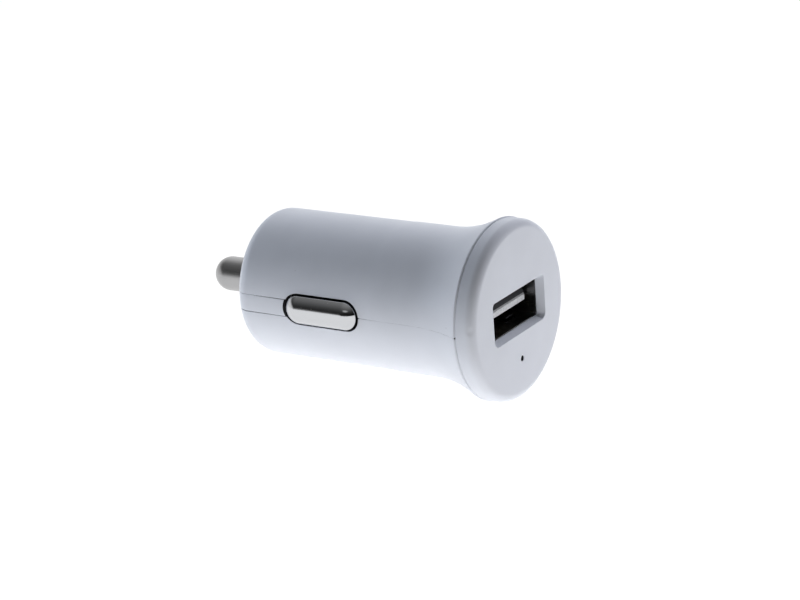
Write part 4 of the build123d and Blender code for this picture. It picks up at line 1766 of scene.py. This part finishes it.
@dataclass
class Studio:
    """White floor that glows, white surroundings, flats that only gloss shows and three soft lamps."""

    floor_gap: float = 0.15
    floor_half: float = 3000.0
    floor_glow: float = 0.9
    floor_paint: float = 0.9
    floor_white: float = 1.05
    table_light: Colour = (0.797, 0.785, 0.77)
    table_reach: Pair = (120.0, 200.0)
    flat_radius: float = 700.0
    flat_turn: Pair = (-250.0, 110.0)
    flat_turn_steps: int = 48
    flat_rise: Pair = (0.0, 90.0)
    flat_rise_steps: int = 24
    flat_low: float = 0.02
    flat_front: float = 0.004
    flat_front_band: Pair = (0.45, -0.1)
    flat_high: float = 0.34
    flat_high_power: float = 2.4
    flat_right: float = 1.0
    flat_right_band: Pair = (-0.15, 0.7)
    flat_right_fade: Pair = (-0.4, 0.3)
    flat_rear: float = 0.8
    flat_rear_band: Pair = (0.4, 0.75)
    flat_rear_slant: float = 0.9
    window: float = 0.5
    window_way: Point = (0.0, -0.03, 0.5)
    window_stretch: Point = (0.0, 0.3, 1.0)
    window_reach: Pair = (0.12, 0.04)
    lamps: list[Lamp] = field(default_factory=lambda: [
        Lamp("lamp_side", azimuth=75.0, elevation=40.0, power=1.3, size=420.0, colour=(0.885, 0.91, 1.0)),
        Lamp("lamp_high", azimuth=165.0, elevation=40.0, power=0.65, size=420.0, colour=(0.915, 0.954, 1.0)),
        Lamp("lamp_left", azimuth=-150.0, elevation=12.0, power=0.3, size=220.0, colour=(0.667, 0.8, 1.0)),
    ])

    def build(self) -> None:
        """Make the floor, the flats, the world and the lamps."""
        bpy.context.scene.view_settings.view_transform = "Standard"
        self.floor()
        self.flat()
        self.world()
        for lamp in self.lamps:
            lamp.build()

    @staticmethod
    def seen(recipe: Recipe) -> Signal:
        """Rays that show the surroundings to the eye, in metal or through glass.

        Args:
            recipe: Recipe that it is added to.

        Returns:
            One for such rays and zero for others.
        """
        shown = recipe.add("ShaderNodeLightPath", output="Is Camera Ray")
        glossy = recipe.add("ShaderNodeLightPath", output="Is Glossy Ray")
        through = recipe.add("ShaderNodeLightPath", output="Is Transmission Ray")
        return shown.at_least(glossy).at_least(through)

    @staticmethod
    def stage(draft: Draft, name: str) -> tuple[bpy.types.Object, Recipe]:
        """Show a drawing as part of the studio.

        Args:
            draft: The drawing.
            name: Name of the object and of its material.

        Returns:
            The object and the recipe of its material.
        """
        mesh = draft.mesh(name)
        material = bpy.data.materials.new(name)
        material.use_nodes = True
        mesh.materials.append(material)
        made = bpy.data.objects.new(name, mesh)
        bpy.context.scene.collection.objects.link(made)
        made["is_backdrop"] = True
        return made, Recipe(material.node_tree)

    def floor(self) -> None:
        """Plain white floor just under the plug that keeps its shadow and lights it from below."""
        level = SOLID_BOX[0][2] / MM - self.floor_gap
        reach = self.floor_half
        draft = Draft()
        corners = ((-reach, -reach), (reach, -reach), (reach, reach), (-reach, reach))
        draft.face(draft.loop((x, y, level) for x, y in corners), flat=True)
        recipe = self.stage(draft, "floor")[1]
        away = recipe.away(recipe.place(), [(low + high) / 2 for low, high in zip(*SOLID_BOX)])
        near, far = (reach * MM for reach in self.table_reach)
        table = recipe.mix(recipe.band(away, near, far), self.table_light, grey(0.0))
        paint = recipe.add("ShaderNodeBsdfDiffuse", None, {"Color": (*grey(self.floor_paint), 1.0)})
        light = recipe.add("ShaderNodeEmission", None, {"Color": table, "Strength": 1.0})
        lit = recipe.add("ShaderNodeAddShader", None, {0: paint, 1: light})
        white = {"Color": (*grey(1.0), 1.0), "Strength": self.floor_white}
        glow = recipe.add("ShaderNodeEmission", None, white)
        factor = self.seen(recipe) * self.floor_glow
        recipe.finish(recipe.add("ShaderNodeMixShader", None, {0: factor, 1: lit, 2: glow}))

    def flat(self) -> None:
        """Flats all round that only gloss shows: dark at the front and left, lighter elsewhere."""
        draft = Draft()
        turns = [math.radians(turn) for turn in spread(*self.flat_turn, self.flat_turn_steps)]
        rows = []
        for rise in (math.radians(rise) for rise in spread(*self.flat_rise, self.flat_rise_steps)):
            out = self.flat_radius * math.cos(rise)
            up = self.flat_radius * math.sin(rise)
            rows.append(draft.loop((out * math.sin(turn), -out * math.cos(turn), up) for turn in turns))
        draft.strips(rows, closed=False)
        flat, recipe = self.stage(draft, "dark_flat")
        scale = 1 / (self.flat_radius * MM)
        place = recipe.stretched(recipe.place(), (scale, scale, scale))
        rise = recipe.axis(place, "Z")
        along = recipe.axis(place, "Y")
        rear = recipe.band(along - rise * self.flat_rear_slant, *self.flat_rear_band)
        right = recipe.band(recipe.axis(place, "X"), *self.flat_right_band)
        right = right * recipe.band(along, *self.flat_right_fade)
        front = recipe.band(along, *self.flat_front_band)
        low = recipe.mix(front, grey(self.flat_low), grey(self.flat_front))
        colour = recipe.mix(rise**self.flat_high_power, low, grey(self.flat_high))
        colour = recipe.mix(right, colour, grey(self.flat_right))
        colour = recipe.mix(rear, colour, grey(self.flat_rear))
        away = recipe.away(recipe.stretched(place, self.window_stretch), self.window_way)
        colour = recipe.mix(recipe.band(away, *self.window_reach), colour, grey(self.window))
        recipe.finish(recipe.add("ShaderNodeEmission", None, {"Color": colour, "Strength": 1.0}))
        flat.visible_camera = False
        flat.visible_diffuse = False
        flat.visible_transmission = False
        flat.visible_shadow = False

    def world(self) -> None:
        """White surroundings for the eye that give no light of their own."""
        world = bpy.data.worlds.new("studio")
        world.use_nodes = True
        bpy.context.scene.world = world
        recipe = Recipe(world.node_tree)
        white = recipe.add("ShaderNodeBackground", None, {"Color": (*grey(1.0), 1.0), "Strength": 1.0})
        dark = recipe.add("ShaderNodeBackground", None, {"Color": (*grey(0.0), 1.0), "Strength": 0.0})
        shader = recipe.add("ShaderNodeMixShader", None, {0: self.seen(recipe), 1: dark, 2: white})
        recipe.finish(shader, "ShaderNodeOutputWorld")


@dataclass
class PhotoCamera:
    """Camera at the photograph's place."""

    target: Point = (0.0, 9.0, 0.0)
    azimuth: float = -56.28
    elevation: float = 18.70
    roll: float = -4.43
    distance: float = 350.0
    focal_pixels: float = 2550.5
    image_width: float = 800.0
    sensor: float = 36.0
    aim: Pair = (0.941, -0.80)

    def build(self) -> None:
        """Make the camera and hand it to the scene."""
        roll = math.radians(self.roll)
        back = bearing(self.azimuth, self.elevation)
        level = (-back).cross(Vector((0, 0, 1))).normalized()
        upright = level.cross(-back)
        right = level * math.cos(roll) + upright * math.sin(roll)
        up = upright * math.cos(roll) - level * math.sin(roll)
        place = Vector(self.target) + back * self.distance
        aim = Vector(self.target) + right * self.aim[0] + up * self.aim[1]
        back = (place - aim).normalized()
        right = (right - back * right.dot(back)).normalized()
        up = back.cross(right)
        data = bpy.data.cameras.new("camera")
        data.sensor_width = self.sensor
        data.lens = self.focal_pixels * self.sensor / self.image_width
        camera = bpy.data.objects.new("camera", data)
        turned = Matrix((right, up, back)).transposed().to_4x4()
        camera.matrix_world = Matrix.Translation(place * MM) @ turned
        bpy.context.scene.collection.objects.link(camera)
        bpy.context.scene.camera = camera
        log.info("camera at %.0f mm", self.distance)


def write_sizes() -> None:
    """Gather the box of the solids and the box of the dressed plug."""
    boxes = {"cad": SOLID_BOX, "visual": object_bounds()}
    sizes = {name: [[float(value) for value in corner] for corner in box] for name, box in boxes.items()}


def main() -> None:
    """Build the plug's pieces, its studio and its camera."""
    Housing().build()
    for side in Side:
        SideContact(side).build()
    CentreTip().build()
    Fittings().dress()
    Studio().build()
    PhotoCamera().build()
    write_sizes()


if __name__ == "__main__":
    main()
